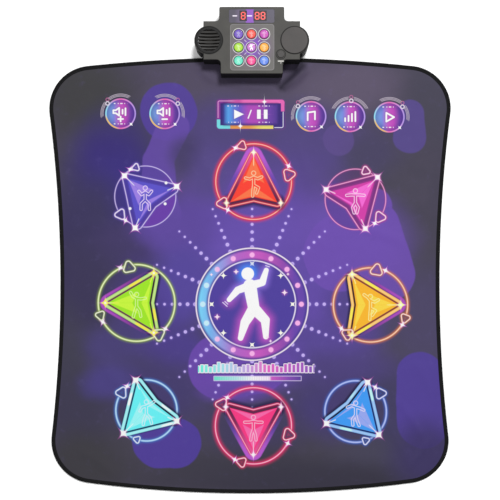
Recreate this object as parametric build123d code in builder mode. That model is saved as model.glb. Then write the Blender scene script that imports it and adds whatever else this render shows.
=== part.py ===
from build123d import *
import os

os.makedirs("parts", exist_ok=True)

# Dance mat with a clip-over console.  Millimetres, +Z up, the floor at z = 0,
# +Y towards the console, the origin at the middle of the footprint.

# ---------------------------------------------------------------- mat: driving dimensions
mat_back = 403.7  # the convex edge at the console, at x = 0
mat_front = -496.1  # the convex edge at the player, at x = 0
back_radius = 3215.0  # the back edge bulges out, and so does the front edge
front_radius = 2570.0
waist_half = 391.4  # the narrowest place of the concave sides
waist_y = -62.0
side_radius = 2753.0
corner_radius = 88.0

backing_thick = 0.8
film_thick = 0.3
contact_thick = 0.1
foam_thick = 2.5
cover_thick = 1.5
pad_thick = 2.1
pad_gap = 0.3  # all round each pad

binding_wall = 1.0
binding_width = 8.5
binding_thick = 0.7

play = 0.2  # between pieces that fit into one another
slot_play = 1.0  # a soft piece's slot is this much longer and wider
backing_inset = binding_width + 0.3
film_inset = binding_width + 6.0
contact_inset = 8.0  # a contact's edge is this far inside its pad's
pad_edge = 0.4

film_z = backing_thick
foam_z = film_z + film_thick
cover_z = foam_z + foam_thick
mat_top = cover_z + cover_thick

# Round pads: centre x, centre y, radius.
big_pad = 80.0
corner_pad = 66.0
small_pad = 34.0
round_pads = {
    "pad_centre": (4.3, -105.5, 118.0),
    "pad_up": (7.5, 147.3, big_pad),
    "pad_down": (7.0, -356.2, big_pad),
    "pad_left": (-233.9, -102.8, big_pad),
    "pad_right": (248.4, -106.9, big_pad),
    "pad_up_left": (-216.0, 116.6, corner_pad),
    "pad_up_right": (217.4, 110.8, corner_pad),
    "pad_down_left": (-213.6, -324.5, corner_pad),
    "pad_down_right": (217.8, -326.8, corner_pad),
    "pad_volume_up": (-266.8, 287.4, small_pad),
    "pad_volume_down": (-175.9, 287.0, small_pad),
    "pad_mode": (125.9, 281.8, small_pad),
    "pad_difficulty": (206.2, 281.0, small_pad),
    "pad_demo": (287.1, 280.2, small_pad),
}
start_place = (1.3, 286.2)
start_size = (148.0, 69.0)
start_corner = 9.0

# ---------------------------------------------------------------- console: driving dimensions
console_x = 3.5  # the console's middle; every console x below is measured from it
console_back = 496.1
console_front = 361.0
back_half = 65.5
shoulder_y = 467.3
shoulder_half = 97.5
lower_y = 389.2
front_half = 63.0
pod_x, pod_y, pod_radius = 86.0, 428.6, 30.0

shell_z = 0.8  # the underside behind the mat
step_y = mat_back + 1.5
over_mat_z = mat_top + binding_thick + 0.4  # the underside over the mat
split_z = 16.0
shell_top = 40.0
wall = 2.0
floor_z = shell_z + wall
front_floor_z = over_mat_z + wall
roof_z = shell_top - wall
edge_round = 1.8
inner_corner = 8.0
outer_corner = 3.0
step_cut = (300.0, 120.0)  # a block larger than the console's front part

key_pitch = (25.8, 26.75)
key_middle = (-0.8, 413.9)
key_radius = 8.9
key_gap = 0.3
key_top = 41.6
key_names = (
    ("key_up_left", "key_up", "key_up_right"),
    ("key_left", "key_centre", "key_right"),
    ("key_down_left", "key_down", "key_down_right"),
)
flange_out = 1.6
flange_z = (roof_z - 2.3, roof_z - 0.3)
stem_radius = 2.5
stem_z = 34.0
key_crown = 1.2

overlay_middle = (0.95, 414.45)
overlay_size = (89.5, 93.9)
overlay_corner = 6.0
overlay_thick = 0.5
seat_play = 0.4  # a seat is this much longer and wider than its piece

panel_middle = (0.0, 477.1)
panel_size = (91.5, 27.0)
panel_corner = 4.0
panel_thick = 1.5
panel_ledge = 2.0  # the roof's rim under the panel
digit_y = 477.7
digit_height = 15.6
digit_width = 9.6
segment_width = 2.2
segment_gap = 0.25
digit_groups = {-17.2: (-17.2,), 16.75: (10.9, 22.6)}  # module middle: its digits
module_margin = 2.6
module_sunk = 0.15
segment_thick = 0.2

grille_radius = 27.0
grille_thick = 3.2
grille_proud = 0.3
grille_edge = 0.8
slot_pitch = 6.6
slot_width = 3.6
slot_count = 7
slotted_radius = 22.2
dish_rim = 23.2
dish_depth = 1.9
pod_seat_depth = 1.0
pod_cover_thick = 2.2
pod_cover_edge = 0.9

power_place = (58.6, 400.1)
power_radius = 7.0
power_crown = 0.7

board_z = 27.0
board_thick = 1.6
board_top = board_z + board_thick
board_size = (100.0, 107.0)
board_middle = (0.0, 427.5)
board_posts = ((-44.0, 381.0), (44.0, 381.0), (-44.0, 474.0), (44.0, 474.0))
board_post_radius = 3.0
board_screw_length = 6.0
power_tab = (20.0, 18.0)  # the board's ear under the power button

switch_size = 6.0
switch_height = 3.2
plunger_radius = 1.7
plunger_height = 0.5
led_shift = 5.5  # from a key's middle to the lamp on either side
led_size = (2.8, 3.5)
led_height = 1.4
power_switch_size = 8.5
power_switch_height = 3.6

# Half sections of the speaker: distance from its axis, and height.
speaker_frame_section = (
    (21.5, 36.6), (25.5, 36.6), (25.5, 35.0), (23.0, 35.0), (14.5, 24.0),
    (9.0, 24.0), (9.0, 25.2), (13.5, 25.2), (21.5, 35.4),
)
speaker_cone_section = (
    (0, 31.6), (5.0, 30.0), (19.0, 36.2), (21.4, 35.9),
    (21.4, 35.4), (19.0, 35.5), (5.0, 29.0), (0, 29.0),
)
magnet_z = (17.0, 24.0)
magnet_radius = 15.0
magnet_edge = 0.8

screw_places = tuple(
    (side * x, y) for x, y in ((57.0, 486.0), (89.0, 396.0), (54.0, 369.0)) for side in (-1, 1)
)
boss_radius = 3.6
pilot_radius = 1.3
screw_hole = 1.7
head_radius = 2.8
head_thick = 1.8
head_edge = 0.6
cross_slot = (3.2, 0.7)
cross_depth = 1.0
head_play = 0.4  # a counterbore is this much deeper than the head
pilot_depth = 14.0
shell_screw_reach = 12.0  # how far a shell screw goes above the split
hole_into_floor = 1.3

cell_radius = 7.1
cell_length = 50.0
cell_pitch = 15.4
cell_count = 4
tray_middle_y = 452.5
tray_size = (64.0, 65.0)
tray_top = 21.5
tray_wall = 1.2
cell_z = floor_z + 0.5 + cell_radius
nub_radius = 2.6
nub_length = 1.0
contact_plate = 10.0
contact_plate_thick = 0.5
spring_radius = 3.6
spring_length = 2.4
spring_taper = 18
door_margin = 0.3
door_thick = 1.0
door_recess = 1.2
door_ledge = 0.5
door_corner = 2.0
door_z = shell_z + play
grip_y = tray_middle_y - 22.0
grip_count = 5
grip_pitch = 2.6
grip_size = (22.0, 1.1)
grip_depth = 0.4
door_tab = (0.0, 488.6)
door_tab_radius = 4.4
door_post_radius = 3.4
door_post_height = 7.0
door_screw_reach = 5.0

tongue_half = 40.0
tongue_thick = 0.8
tongue_y = (384.0, 419.0)
clamp_half = 50.0
clamp_y = (409.0, 417.0)
clamp_thick = 3.5
clamp_corner = 2.5
clamp_screw_x = 45.5
clamp_screw_reach = 1.2  # how far they go into the floor below their posts

foot_places = ((-40.0, 486.5), (40.0, 486.5), (-84.0, pod_y), (84.0, pod_y))
foot_radius = 4.8
foot_edge = 0.4


# ---------------------------------------------------------------- shared profiles
def mat_outline(inset):
    """The mat's outline, drawn in by an even distance: four arcs with rounded corners."""
    with BuildSketch() as outline:
        with Locations((0, mat_back - back_radius)):
            Circle(back_radius - inset)
        with Locations((0, mat_front + front_radius)):
            Circle(front_radius - inset, mode=Mode.INTERSECT)
        side_x = waist_half + side_radius
        with Locations((-side_x, waist_y), (side_x, waist_y)):
            Circle(side_radius + inset, mode=Mode.SUBTRACT)
        for x in (-mat_back, mat_back):
            for y in (mat_back, mat_front):
                tip = outline.vertices().sort_by_distance((x, y, 0))[0]
                fillet(tip, corner_radius - inset)
    return outline.sketch


def pad_shapes(growth):
    """Every pad's own profile, grown by an even distance, by the pad's name."""
    shapes = {}
    for name, (x, y, radius) in round_pads.items():
        with BuildSketch() as disc:
            with Locations((x, y)):
                Circle(radius + growth)
        shapes[name] = disc.sketch
    with BuildSketch() as panel:
        with Locations(start_place):
            RectangleRounded(start_size[0] + 2 * growth, start_size[1] + 2 * growth, start_corner)
    shapes["pad_start"] = panel.sketch
    return shapes


def console_outline(inset):
    """The console seen from above, drawn in by an even distance."""
    with BuildSketch() as outline:
        with BuildLine():
            Polyline(
                (0, console_back),
                (back_half, console_back),
                (back_half, shoulder_y),
                (shoulder_half, shoulder_y),
                (shoulder_half, lower_y),
                (front_half, lower_y),
                (front_half, console_front),
                (0, console_front),
            )
            mirror(about=Plane.YZ)
        make_face()
        # The notches' inner corners are rounded wide, the four outer tips narrow.
        notches = ((back_half, shoulder_y), (front_half, lower_y))
        for reach_x, corner_y in notches:
            for side in (-1, 1):
                corner = outline.vertices().sort_by_distance((side * reach_x, corner_y, 0))[0]
                fillet(corner, inner_corner)
        for reach_x, tip_y in ((back_half, console_back), (front_half, console_front)):
            for side in (-1, 1):
                tip = outline.vertices().sort_by_distance((side * reach_x, tip_y, 0))[0]
                fillet(tip, outer_corner)
        with Locations((-pod_x, pod_y), (pod_x, pod_y)):
            Circle(pod_radius)
        if inset > 0:
            offset(amount=-inset, mode=Mode.REPLACE)
    return outline.sketch


def level(z):
    """A horizontal sketch plane on the console's own middle line."""
    return Plane((console_x, 0, z))


def save(piece, name):
    piece.part.label = name
    export_step(piece.part, f"parts/{name}.step")


# ---------------------------------------------------------------- mat layers
with BuildPart() as mat_bottom_sheet:
    with BuildSketch():
        add(mat_outline(backing_inset))
    extrude(amount=backing_thick)
save(mat_bottom_sheet, "mat_bottom_sheet")

with BuildPart() as lower_circuit_film:
    with BuildSketch(Plane.XY.offset(film_z)):
        add(mat_outline(film_inset))
    extrude(amount=film_thick)
save(lower_circuit_film, "lower_circuit_film")

with BuildPart() as lower_contacts:
    with BuildSketch(Plane.XY.offset(foam_z)):
        for shape in pad_shapes(-contact_inset).values():
            add(shape)
    extrude(amount=contact_thick)
save(lower_contacts, "lower_contacts")


def pierced_sheet(z, thick, inset):
    """A layer of the mat with a hole round every pad."""
    with BuildPart() as layer:
        with BuildSketch(Plane.XY.offset(z)):
            add(mat_outline(inset))
            for shape in pad_shapes(pad_gap).values():
                add(shape, mode=Mode.SUBTRACT)
        extrude(amount=thick)
        if z < cover_z:
            notch_depth = mat_back - tongue_y[0]
            with BuildSketch(Plane.XY.offset(cover_z - tongue_thick)):
                with Locations((console_x, tongue_y[0] + notch_depth / 2)):
                    Rectangle(2 * tongue_half + slot_play, notch_depth + slot_play)
            extrude(amount=tongue_thick, mode=Mode.SUBTRACT)
    return layer


save(pierced_sheet(foam_z, foam_thick, binding_wall + play), "spacer_foam")
save(pierced_sheet(cover_z, cover_thick, binding_wall + play), "mat_top_sheet")

# The tape wraps the edge: a flange below, a thin wall with the tongue's slot, a flange above.
with BuildPart() as edge_binding:
    for z, height, width in (
        (0, backing_thick, binding_width),
        (backing_thick, mat_top - backing_thick, binding_wall),
        (mat_top, binding_thick, binding_width),
    ):
        with BuildSketch(Plane.XY.offset(z)):
            add(mat_outline(0))
            add(mat_outline(width), mode=Mode.SUBTRACT)
        extrude(amount=height)
    with BuildSketch(Plane.XY.offset(cover_z - tongue_thick)):
        with Locations((console_x, mat_back)):
            Rectangle(2 * tongue_half + slot_play, 4 * binding_wall)
    extrude(amount=tongue_thick, mode=Mode.SUBTRACT)
save(edge_binding, "edge_binding")

for name, shape in pad_shapes(0).items():
    with BuildPart() as pad:
        with BuildSketch(Plane.XY.offset(mat_top - pad_thick)):
            add(shape)
        extrude(amount=pad_thick)
        fillet(pad.edges().group_by(Axis.Z)[-1], pad_edge)
    save(pad, name)

# ---------------------------------------------------------------- tongue and its clamp
with BuildPart() as mat_tongue:
    with BuildSketch(level(cover_z - tongue_thick)):
        with Locations((0, (tongue_y[0] + tongue_y[1]) / 2)):
            Rectangle(2 * tongue_half, tongue_y[1] - tongue_y[0])
    extrude(amount=tongue_thick)
save(mat_tongue, "mat_tongue")

clamp_middle_y = (clamp_y[0] + clamp_y[1]) / 2
clamp_screw_places = ((-clamp_screw_x, clamp_middle_y), (clamp_screw_x, clamp_middle_y))
with BuildPart() as tongue_clamp:
    with BuildSketch(level(cover_z)):
        with Locations((0, clamp_middle_y)):
            RectangleRounded(2 * clamp_half, clamp_y[1] - clamp_y[0], clamp_corner)
        with Locations(*clamp_screw_places):
            Circle(screw_hole, mode=Mode.SUBTRACT)
    extrude(amount=clamp_thick)
save(tongue_clamp, "tongue_clamp")


def screws(places, head_z, tip_z):
    """Pan-head screws; the shank runs from the head towards tip_z, up or down."""
    direction = 1 if tip_z > head_z else -1
    with BuildPart() as fasteners:
        with BuildSketch(level(head_z)):
            with Locations(*places):
                Circle(pilot_radius)
        extrude(amount=tip_z - head_z)
        with BuildSketch(level(head_z)):
            with Locations(*places):
                Circle(head_radius)
        extrude(amount=-direction * head_thick)
        head_faces = fasteners.faces().sort_by(Axis.Z)
        outer = head_faces[: len(places)] if direction > 0 else head_faces[-len(places):]
        fillet([edge for face in outer for edge in face.edges()], head_edge)
        with BuildSketch(level(head_z - direction * head_thick)):
            with Locations(*places):
                Rectangle(*cross_slot)
                Rectangle(*cross_slot, rotation=90)
        extrude(amount=direction * cross_depth, mode=Mode.SUBTRACT)
    return fasteners


clamp_screws = screws(clamp_screw_places, cover_z + clamp_thick, floor_z - clamp_screw_reach)
save(clamp_screws, "clamp_screws")

# ---------------------------------------------------------------- console shells
with BuildPart() as console_bottom_shell:
    with BuildSketch(level(shell_z)):
        add(console_outline(0))
    extrude(amount=split_z - shell_z)
    with BuildSketch(level(shell_z)):
        with Locations((0, step_y)):
            Rectangle(*step_cut, align=(Align.CENTER, Align.MAX))
    extrude(amount=over_mat_z - shell_z, mode=Mode.SUBTRACT)
    # The hollow: deep behind the mat, shallow above it.
    with BuildSketch(level(front_floor_z)):
        add(console_outline(wall))
    extrude(amount=split_z - front_floor_z, mode=Mode.SUBTRACT)
    with BuildSketch(level(floor_z)):
        add(console_outline(wall))
        with Locations((0, step_y + wall)):
            Rectangle(*step_cut, align=(Align.CENTER, Align.MAX), mode=Mode.SUBTRACT)
    extrude(amount=split_z - floor_z, mode=Mode.SUBTRACT)
    # The tongue's slot through the step wall.
    with BuildSketch(level(cover_z - tongue_thick - play / 2)):
        with Locations((0, step_y + wall / 2)):
            Rectangle(2 * tongue_half + slot_play, 2 * wall)
    extrude(amount=tongue_thick + 2 * play, mode=Mode.SUBTRACT)
    # Posts for the shell screws, the clamp screws and the board.
    for places, radius, hole, top in (
        (screw_places, boss_radius, screw_hole, split_z),
        (clamp_screw_places, boss_radius, pilot_radius, cover_z),
        (board_posts, board_post_radius, pilot_radius, board_z),
        ((door_tab,), door_post_radius, pilot_radius, floor_z + door_post_height),
    ):
        for place in places:
            foot = floor_z if place[1] > step_y + wall else front_floor_z
            with BuildSketch(level(foot)):
                with Locations(place):
                    Circle(radius)
            extrude(amount=top - foot)
            with BuildSketch(level(foot - hole_into_floor)):
                with Locations(place):
                    Circle(hole)
            extrude(amount=top - foot + hole_into_floor, mode=Mode.SUBTRACT)
    # The shell screws' heads sit in counterbores from below.
    for x, y in screw_places:
        under = shell_z if y > step_y else over_mat_z
        with BuildSketch(level(under)):
            with Locations((x, y)):
                Circle(head_radius + play)
        extrude(amount=head_thick + head_play, mode=Mode.SUBTRACT)
        with BuildSketch(level(under + head_thick + head_play)):
            with Locations((x, y)):
                Circle(screw_hole)
        extrude(amount=split_z - under - head_thick - head_play, mode=Mode.SUBTRACT)
    # The battery door's opening, with a round tab for its screw.
    with BuildSketch(level(shell_z)):
        with Locations((0, tray_middle_y)):
            Rectangle(*(size - 2 * (tray_wall + door_ledge) for size in tray_size))
    extrude(amount=wall, mode=Mode.SUBTRACT)
    with BuildSketch(level(shell_z)):
        with Locations((0, tray_middle_y)):
            RectangleRounded(*tray_size, door_corner)
        with Locations(door_tab):
            Circle(door_tab_radius)
    extrude(amount=door_recess, mode=Mode.SUBTRACT)
save(console_bottom_shell, "console_bottom_shell")

pods = {"left": (-pod_x, pod_y), "right": (pod_x, pod_y)}
key_places = {
    name: (
        key_middle[0] + (column - 1) * key_pitch[0],
        key_middle[1] - (row - 1) * key_pitch[1],
    )
    for row, names in enumerate(key_names)
    for column, name in enumerate(names)
}

with BuildPart() as console_top_shell:
    with BuildSketch(level(split_z)):
        add(console_outline(0))
    extrude(amount=shell_top - split_z)
    fillet(console_top_shell.faces().sort_by(Axis.Z)[-1].edges(), edge_round)
    with BuildSketch(level(split_z)):
        add(console_outline(wall))
    extrude(amount=roof_z - split_z, mode=Mode.SUBTRACT)
    # Screw bosses under the roof.
    with BuildSketch(level(split_z)):
        with Locations(*screw_places):
            Circle(boss_radius)
    extrude(amount=roof_z - split_z)
    with BuildSketch(level(split_z)):
        with Locations(*screw_places):
            Circle(pilot_radius)
    extrude(amount=pilot_depth, mode=Mode.SUBTRACT)
    # Shallow seats for the keypad overlay and the display panel.
    with BuildSketch(level(shell_top - overlay_thick)):
        with Locations(overlay_middle):
            RectangleRounded(*(size + seat_play for size in overlay_size), overlay_corner)
    extrude(amount=overlay_thick, mode=Mode.SUBTRACT)
    with BuildSketch(level(shell_top - panel_thick)):
        with Locations(panel_middle):
            RectangleRounded(*(size + seat_play for size in panel_size), panel_corner)
    extrude(amount=panel_thick, mode=Mode.SUBTRACT)
    # Holes right through the roof.
    with BuildSketch(level(roof_z)):
        with Locations(*key_places.values()):
            Circle(key_radius + key_gap)
        with Locations(power_place):
            Circle(power_radius + key_gap)
        with Locations(pods["left"]):
            Circle(grille_radius + play)
        with Locations(panel_middle):
            RectangleRounded(*(size - 2 * panel_ledge for size in panel_size), panel_ledge)
    extrude(amount=wall, mode=Mode.SUBTRACT)
    # The right pod's cover sits in a shallow round seat.
    with BuildSketch(level(shell_top - pod_seat_depth)):
        with Locations(pods["right"]):
            Circle(grille_radius + seat_play)
    extrude(amount=pod_seat_depth, mode=Mode.SUBTRACT)
save(console_top_shell, "console_top_shell")

# ---------------------------------------------------------------- face pieces
with BuildPart() as keypad_overlay:
    with BuildSketch(level(shell_top - overlay_thick)):
        with Locations(overlay_middle):
            RectangleRounded(*overlay_size, overlay_corner - play)
        with Locations(*key_places.values()):
            Circle(key_radius + key_gap, mode=Mode.SUBTRACT)
    extrude(amount=overlay_thick)
save(keypad_overlay, "keypad_overlay")

module_width = {
    middle: max(digits) - min(digits) + digit_width + 2 * module_margin
    for middle, digits in digit_groups.items()
}
module_height = digit_height + 2 * module_margin

with BuildPart() as display_panel:
    with BuildSketch(level(shell_top - panel_thick)):
        with Locations(panel_middle):
            RectangleRounded(*panel_size, panel_corner - play)
        for middle, width in module_width.items():
            with Locations((middle, digit_y)):
                Rectangle(width + play, module_height + play, mode=Mode.SUBTRACT)
    extrude(amount=panel_thick)
save(display_panel, "display_panel")

digit_face = shell_top - module_sunk
with BuildPart() as digit_modules:
    for middle, width in module_width.items():
        with BuildSketch(level(board_top)):
            with Locations((middle, digit_y)):
                Rectangle(width, module_height)
        extrude(amount=digit_face - board_top)
save(digit_modules, "digit_modules")


def bar(length):
    """One display segment along X, with pointed ends, at the active location."""
    half, tip = length / 2, segment_width / 2
    Polygon(
        (-half, 0), (-half + tip, tip), (half - tip, tip),
        (half, 0), (half - tip, -tip), (-half + tip, -tip),
    )


with BuildPart() as digit_segments:
    reach_x = (digit_width - segment_width) / 2
    reach_y = (digit_height - segment_width) / 2
    with BuildSketch(level(digit_face)):
        for digit_x in (x for digits in digit_groups.values() for x in digits):
            for row in (-1, 0, 1):
                with Locations((digit_x, digit_y + row * reach_y)):
                    bar(2 * (reach_x - segment_gap))
            for side in (-1, 1):
                for row in (-0.5, 0.5):
                    with Locations(Location((digit_x + side * reach_x, digit_y + row * reach_y), 90)):
                        bar(reach_y - 2 * segment_gap)
    extrude(amount=segment_thick)
save(digit_segments, "digit_segments")

grille_top = shell_top + grille_proud
with BuildPart() as speaker_grille:
    with BuildSketch(level(grille_top - grille_thick)):
        with Locations(pods["left"]):
            Circle(grille_radius)
    extrude(amount=grille_thick)
    fillet(speaker_grille.edges().group_by(Axis.Z)[-1], grille_edge)
    # A shallow dish, cut by a sphere.
    dish_radius = (dish_rim**2 + dish_depth**2) / (2 * dish_depth)
    with Locations((console_x - pod_x, pod_y, grille_top - dish_depth + dish_radius)):
        Sphere(dish_radius, mode=Mode.SUBTRACT)
    with BuildSketch(level(grille_top - 2 * grille_thick)):
        with Locations(pods["left"]):
            Circle(slotted_radius)
        with Locations(pods["left"]):
            with GridLocations(1, slot_pitch, 1, slot_count):
                Rectangle(2 * grille_radius, slot_width, mode=Mode.INTERSECT)
    extrude(amount=2 * grille_thick, mode=Mode.SUBTRACT)
save(speaker_grille, "speaker_grille")

with BuildPart() as pod_cover:
    with BuildSketch(level(shell_top - pod_seat_depth)):
        with Locations(pods["right"]):
            Circle(grille_radius)
    extrude(amount=pod_cover_thick)
    fillet(pod_cover.edges().group_by(Axis.Z)[-1], pod_cover_edge)
save(pod_cover, "pod_cover")


def push_cap(place, radius, crown):
    """A round cap with a flange under the roof and a short stem."""
    with BuildPart() as cap:
        with BuildSketch(level(flange_z[0])):
            with Locations(place):
                Circle(radius)
        extrude(amount=key_top - flange_z[0])
        fillet(cap.edges().group_by(Axis.Z)[-1], crown)
        with BuildSketch(level(flange_z[0])):
            with Locations(place):
                Circle(radius + flange_out)
        extrude(amount=flange_z[1] - flange_z[0])
        with BuildSketch(level(stem_z)):
            with Locations(place):
                Circle(stem_radius)
        extrude(amount=flange_z[0] - stem_z)
    return cap


for name, place in key_places.items():
    save(push_cap(place, key_radius, key_crown), name)
save(push_cap(power_place, power_radius, power_crown), "power_button")

# ---------------------------------------------------------------- inside the console
def turned_piece(section):
    """A ring or cone about the speaker's axis, from its half section."""
    speaker_axis = Axis((console_x - pod_x, pod_y, 0), (0, 0, 1))
    with BuildPart() as piece:
        with BuildSketch(Plane(speaker_axis.position, x_dir=(1, 0, 0), z_dir=(0, -1, 0))):
            with BuildLine():
                Polyline(*section, close=True)
            make_face()
        revolve(axis=speaker_axis)
    return piece


save(turned_piece(speaker_frame_section), "speaker_frame")
save(turned_piece(speaker_cone_section), "speaker_cone")

with BuildPart() as speaker_magnet:
    with BuildSketch(level(magnet_z[0])):
        with Locations(pods["left"]):
            Circle(magnet_radius)
    extrude(amount=magnet_z[1] - magnet_z[0])
    chamfer(speaker_magnet.edges().group_by(Axis.Z)[0], magnet_edge)
save(speaker_magnet, "speaker_magnet")

with BuildPart() as main_board:
    with BuildSketch(level(board_z)):
        with Locations(board_middle):
            Rectangle(*board_size)
        with Locations(power_place):
            Rectangle(*power_tab)
        with Locations(*board_posts):
            Circle(screw_hole, mode=Mode.SUBTRACT)
    extrude(amount=board_thick)
save(main_board, "main_board")

save(screws(board_posts, board_top, board_z - board_screw_length), "board_screws")

with BuildPart() as key_switches:
    with BuildSketch(level(board_top)):
        with Locations(*key_places.values()):
            Rectangle(switch_size, switch_size)
    extrude(amount=switch_height)
    with BuildSketch(level(board_top + switch_height)):
        with Locations(*key_places.values()):
            Circle(plunger_radius)
    extrude(amount=plunger_height)
save(key_switches, "key_switches")

with BuildPart() as key_leds:
    with BuildSketch(level(board_top)):
        for x, y in key_places.values():
            with Locations((x - led_shift, y), (x + led_shift, y)):
                Rectangle(*led_size)
    extrude(amount=led_height)
save(key_leds, "key_leds")

with BuildPart() as power_switch:
    with BuildSketch(level(board_top)):
        with Locations(power_place):
            Rectangle(power_switch_size, power_switch_size)
    extrude(amount=power_switch_height)
save(power_switch, "power_switch")

with BuildPart() as battery_tray:
    with BuildSketch(level(floor_z)):
        with Locations((0, tray_middle_y)):
            Rectangle(*tray_size)
    extrude(amount=tray_top - floor_z)
    with BuildSketch(level(floor_z)):
        with Locations((0, tray_middle_y)):
            Rectangle(*(size - 2 * tray_wall for size in tray_size))
    extrude(amount=tray_top - floor_z - tray_wall, mode=Mode.SUBTRACT)
save(battery_tray, "battery_tray")

with BuildPart() as battery_door:
    with BuildSketch(level(door_z)):
        with Locations((0, tray_middle_y)):
            RectangleRounded(*(size - 2 * door_margin for size in tray_size), door_corner - play)
        with Locations(door_tab):
            Circle(door_tab_radius - door_margin)
            Circle(screw_hole, mode=Mode.SUBTRACT)
    extrude(amount=door_thick)
    # Grip grooves for a thumb.
    with BuildSketch(level(door_z)):
        with Locations((0, grip_y)):
            with GridLocations(1, grip_pitch, 1, grip_count):
                Rectangle(*grip_size)
    extrude(amount=grip_depth, mode=Mode.SUBTRACT)
save(battery_door, "battery_door")
save(screws((door_tab,), door_z, floor_z + door_screw_reach), "battery_door_screw")

cell_places = [
    (0, tray_middle_y + (index - (cell_count - 1) / 2) * cell_pitch) for index in range(cell_count)
]
with BuildPart() as batteries:
    for index, (x, y) in enumerate(cell_places):
        nub_side = 1 if index % 2 == 0 else -1
        with BuildSketch(Plane((console_x - cell_length / 2, y, cell_z), z_dir=(1, 0, 0))):
            Circle(cell_radius)
        extrude(amount=cell_length)
        start = console_x + nub_side * cell_length / 2
        with BuildSketch(Plane((start, y, cell_z), z_dir=(nub_side, 0, 0))):
            Circle(nub_radius)
        extrude(amount=nub_length)
save(batteries, "batteries")

contact_x = tray_size[0] / 2 - tray_wall - contact_plate_thick - play / 2
with BuildPart() as battery_contacts:
    for _, y in cell_places:
        for side in (-1, 1):
            with BuildSketch(Plane((console_x + side * contact_x, y, cell_z), z_dir=(side, 0, 0))):
                Rectangle(contact_plate, contact_plate)
            extrude(amount=contact_plate_thick)
            with BuildSketch(Plane((console_x + side * contact_x, y, cell_z), z_dir=(-side, 0, 0))):
                Circle(spring_radius)
            extrude(amount=spring_length, taper=spring_taper)
save(battery_contacts, "battery_contacts")


def shell_screws():
    """Six long screws from below, the front two starting higher, over the mat."""
    with BuildPart() as fasteners:
        for under in (shell_z, over_mat_z):
            places = [p for p in screw_places if (p[1] < step_y) == (under == over_mat_z)]
            add(screws(places, under + head_thick + head_play / 2, split_z + shell_screw_reach).part)
    return fasteners


save(shell_screws(), "console_screws")

with BuildPart() as rubber_feet:
    with BuildSketch(level(0)):
        with Locations(*foot_places):
            Circle(foot_radius)
    extrude(amount=shell_z)
    chamfer(rubber_feet.edges().group_by(Axis.Z)[0], foot_edge)
save(rubber_feet, "rubber_feet")
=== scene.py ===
import math

import bpy
import numpy as np
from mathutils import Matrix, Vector, geometry


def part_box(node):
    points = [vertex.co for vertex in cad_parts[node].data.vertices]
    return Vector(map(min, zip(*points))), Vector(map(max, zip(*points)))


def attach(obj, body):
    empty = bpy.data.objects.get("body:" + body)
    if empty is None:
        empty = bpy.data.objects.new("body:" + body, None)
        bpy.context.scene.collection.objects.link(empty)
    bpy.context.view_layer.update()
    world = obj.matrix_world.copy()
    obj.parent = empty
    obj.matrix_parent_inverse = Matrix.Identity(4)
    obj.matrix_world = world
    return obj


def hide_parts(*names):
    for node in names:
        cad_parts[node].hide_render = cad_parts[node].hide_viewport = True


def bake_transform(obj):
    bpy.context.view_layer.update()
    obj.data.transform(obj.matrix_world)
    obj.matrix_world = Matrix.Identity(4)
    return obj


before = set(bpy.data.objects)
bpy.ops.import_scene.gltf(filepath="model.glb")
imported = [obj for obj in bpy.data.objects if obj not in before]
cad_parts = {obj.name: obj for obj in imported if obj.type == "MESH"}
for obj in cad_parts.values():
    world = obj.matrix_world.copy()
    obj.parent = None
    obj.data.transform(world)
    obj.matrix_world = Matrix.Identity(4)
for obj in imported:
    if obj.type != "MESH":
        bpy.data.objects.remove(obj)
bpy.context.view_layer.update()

MM = 0.001

# ============================================================ sizes, in millimetres
# The mat's outline: four arcs with rounded corners, as in the CAD model.
mat_low, mat_high = (np.array(corner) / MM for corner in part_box("edge_binding"))
mat_back, mat_front = mat_high[1], mat_low[1]
back_radius = 3215.0
front_radius = 2570.0
waist_half = 391.4
waist_y = -62.0
side_radius = 2753.0
corner_radius = 88.0

cover_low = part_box("mat_top_sheet")[0][2] / MM
cover_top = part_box("mat_top_sheet")[1][2] / MM
pad_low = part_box("pad_up")[0][2] / MM
tape_top = mat_high[2]
tape_width = 8.5
backing_inset = 8.8
backing_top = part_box("mat_bottom_sheet")[1][2] / MM
cover_inset = 1.2

fabric_step = 5.0  # spacing of the fabric's mesh
fabric_clearance = 0.55 * fabric_step  # from an outline to the nearest free corner of the mesh
fabric_pitch = 1.1  # between the fabric's woven threads

PAD_NAMES = sorted(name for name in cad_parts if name.startswith("pad_"))


def middle(node):
    """The plan position of a node's middle, in millimetres."""
    low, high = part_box(node)
    return np.array([(low[0] + high[0]) / 2, (low[1] + high[1]) / 2]) / MM


def half_size(node):
    """Half of a node's width and depth, in millimetres."""
    low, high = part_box(node)
    return np.array([(high[0] - low[0]) / 2, (high[1] - low[1]) / 2]) / MM


pad_gap = 0.3
pads = {name: (middle(name), half_size(name) + pad_gap / 2) for name in PAD_NAMES}
start_corner = 9.0


# ============================================================ outlines
def crossing(centre_a, radius_a, centre_b, radius_b, near):
    """Where two circles cross, the crossing nearest to a given place."""
    a, b = np.array(centre_a, float), np.array(centre_b, float)
    apart = np.linalg.norm(b - a)
    along = (apart**2 + radius_a**2 - radius_b**2) / (2 * apart)
    across = math.sqrt(radius_a**2 - along**2)
    unit = (b - a) / apart
    side = np.array([-unit[1], unit[0]])
    found = [a + unit * along + side * across * sign for sign in (-1, 1)]
    return min(found, key=lambda place: np.linalg.norm(place - near))


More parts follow.
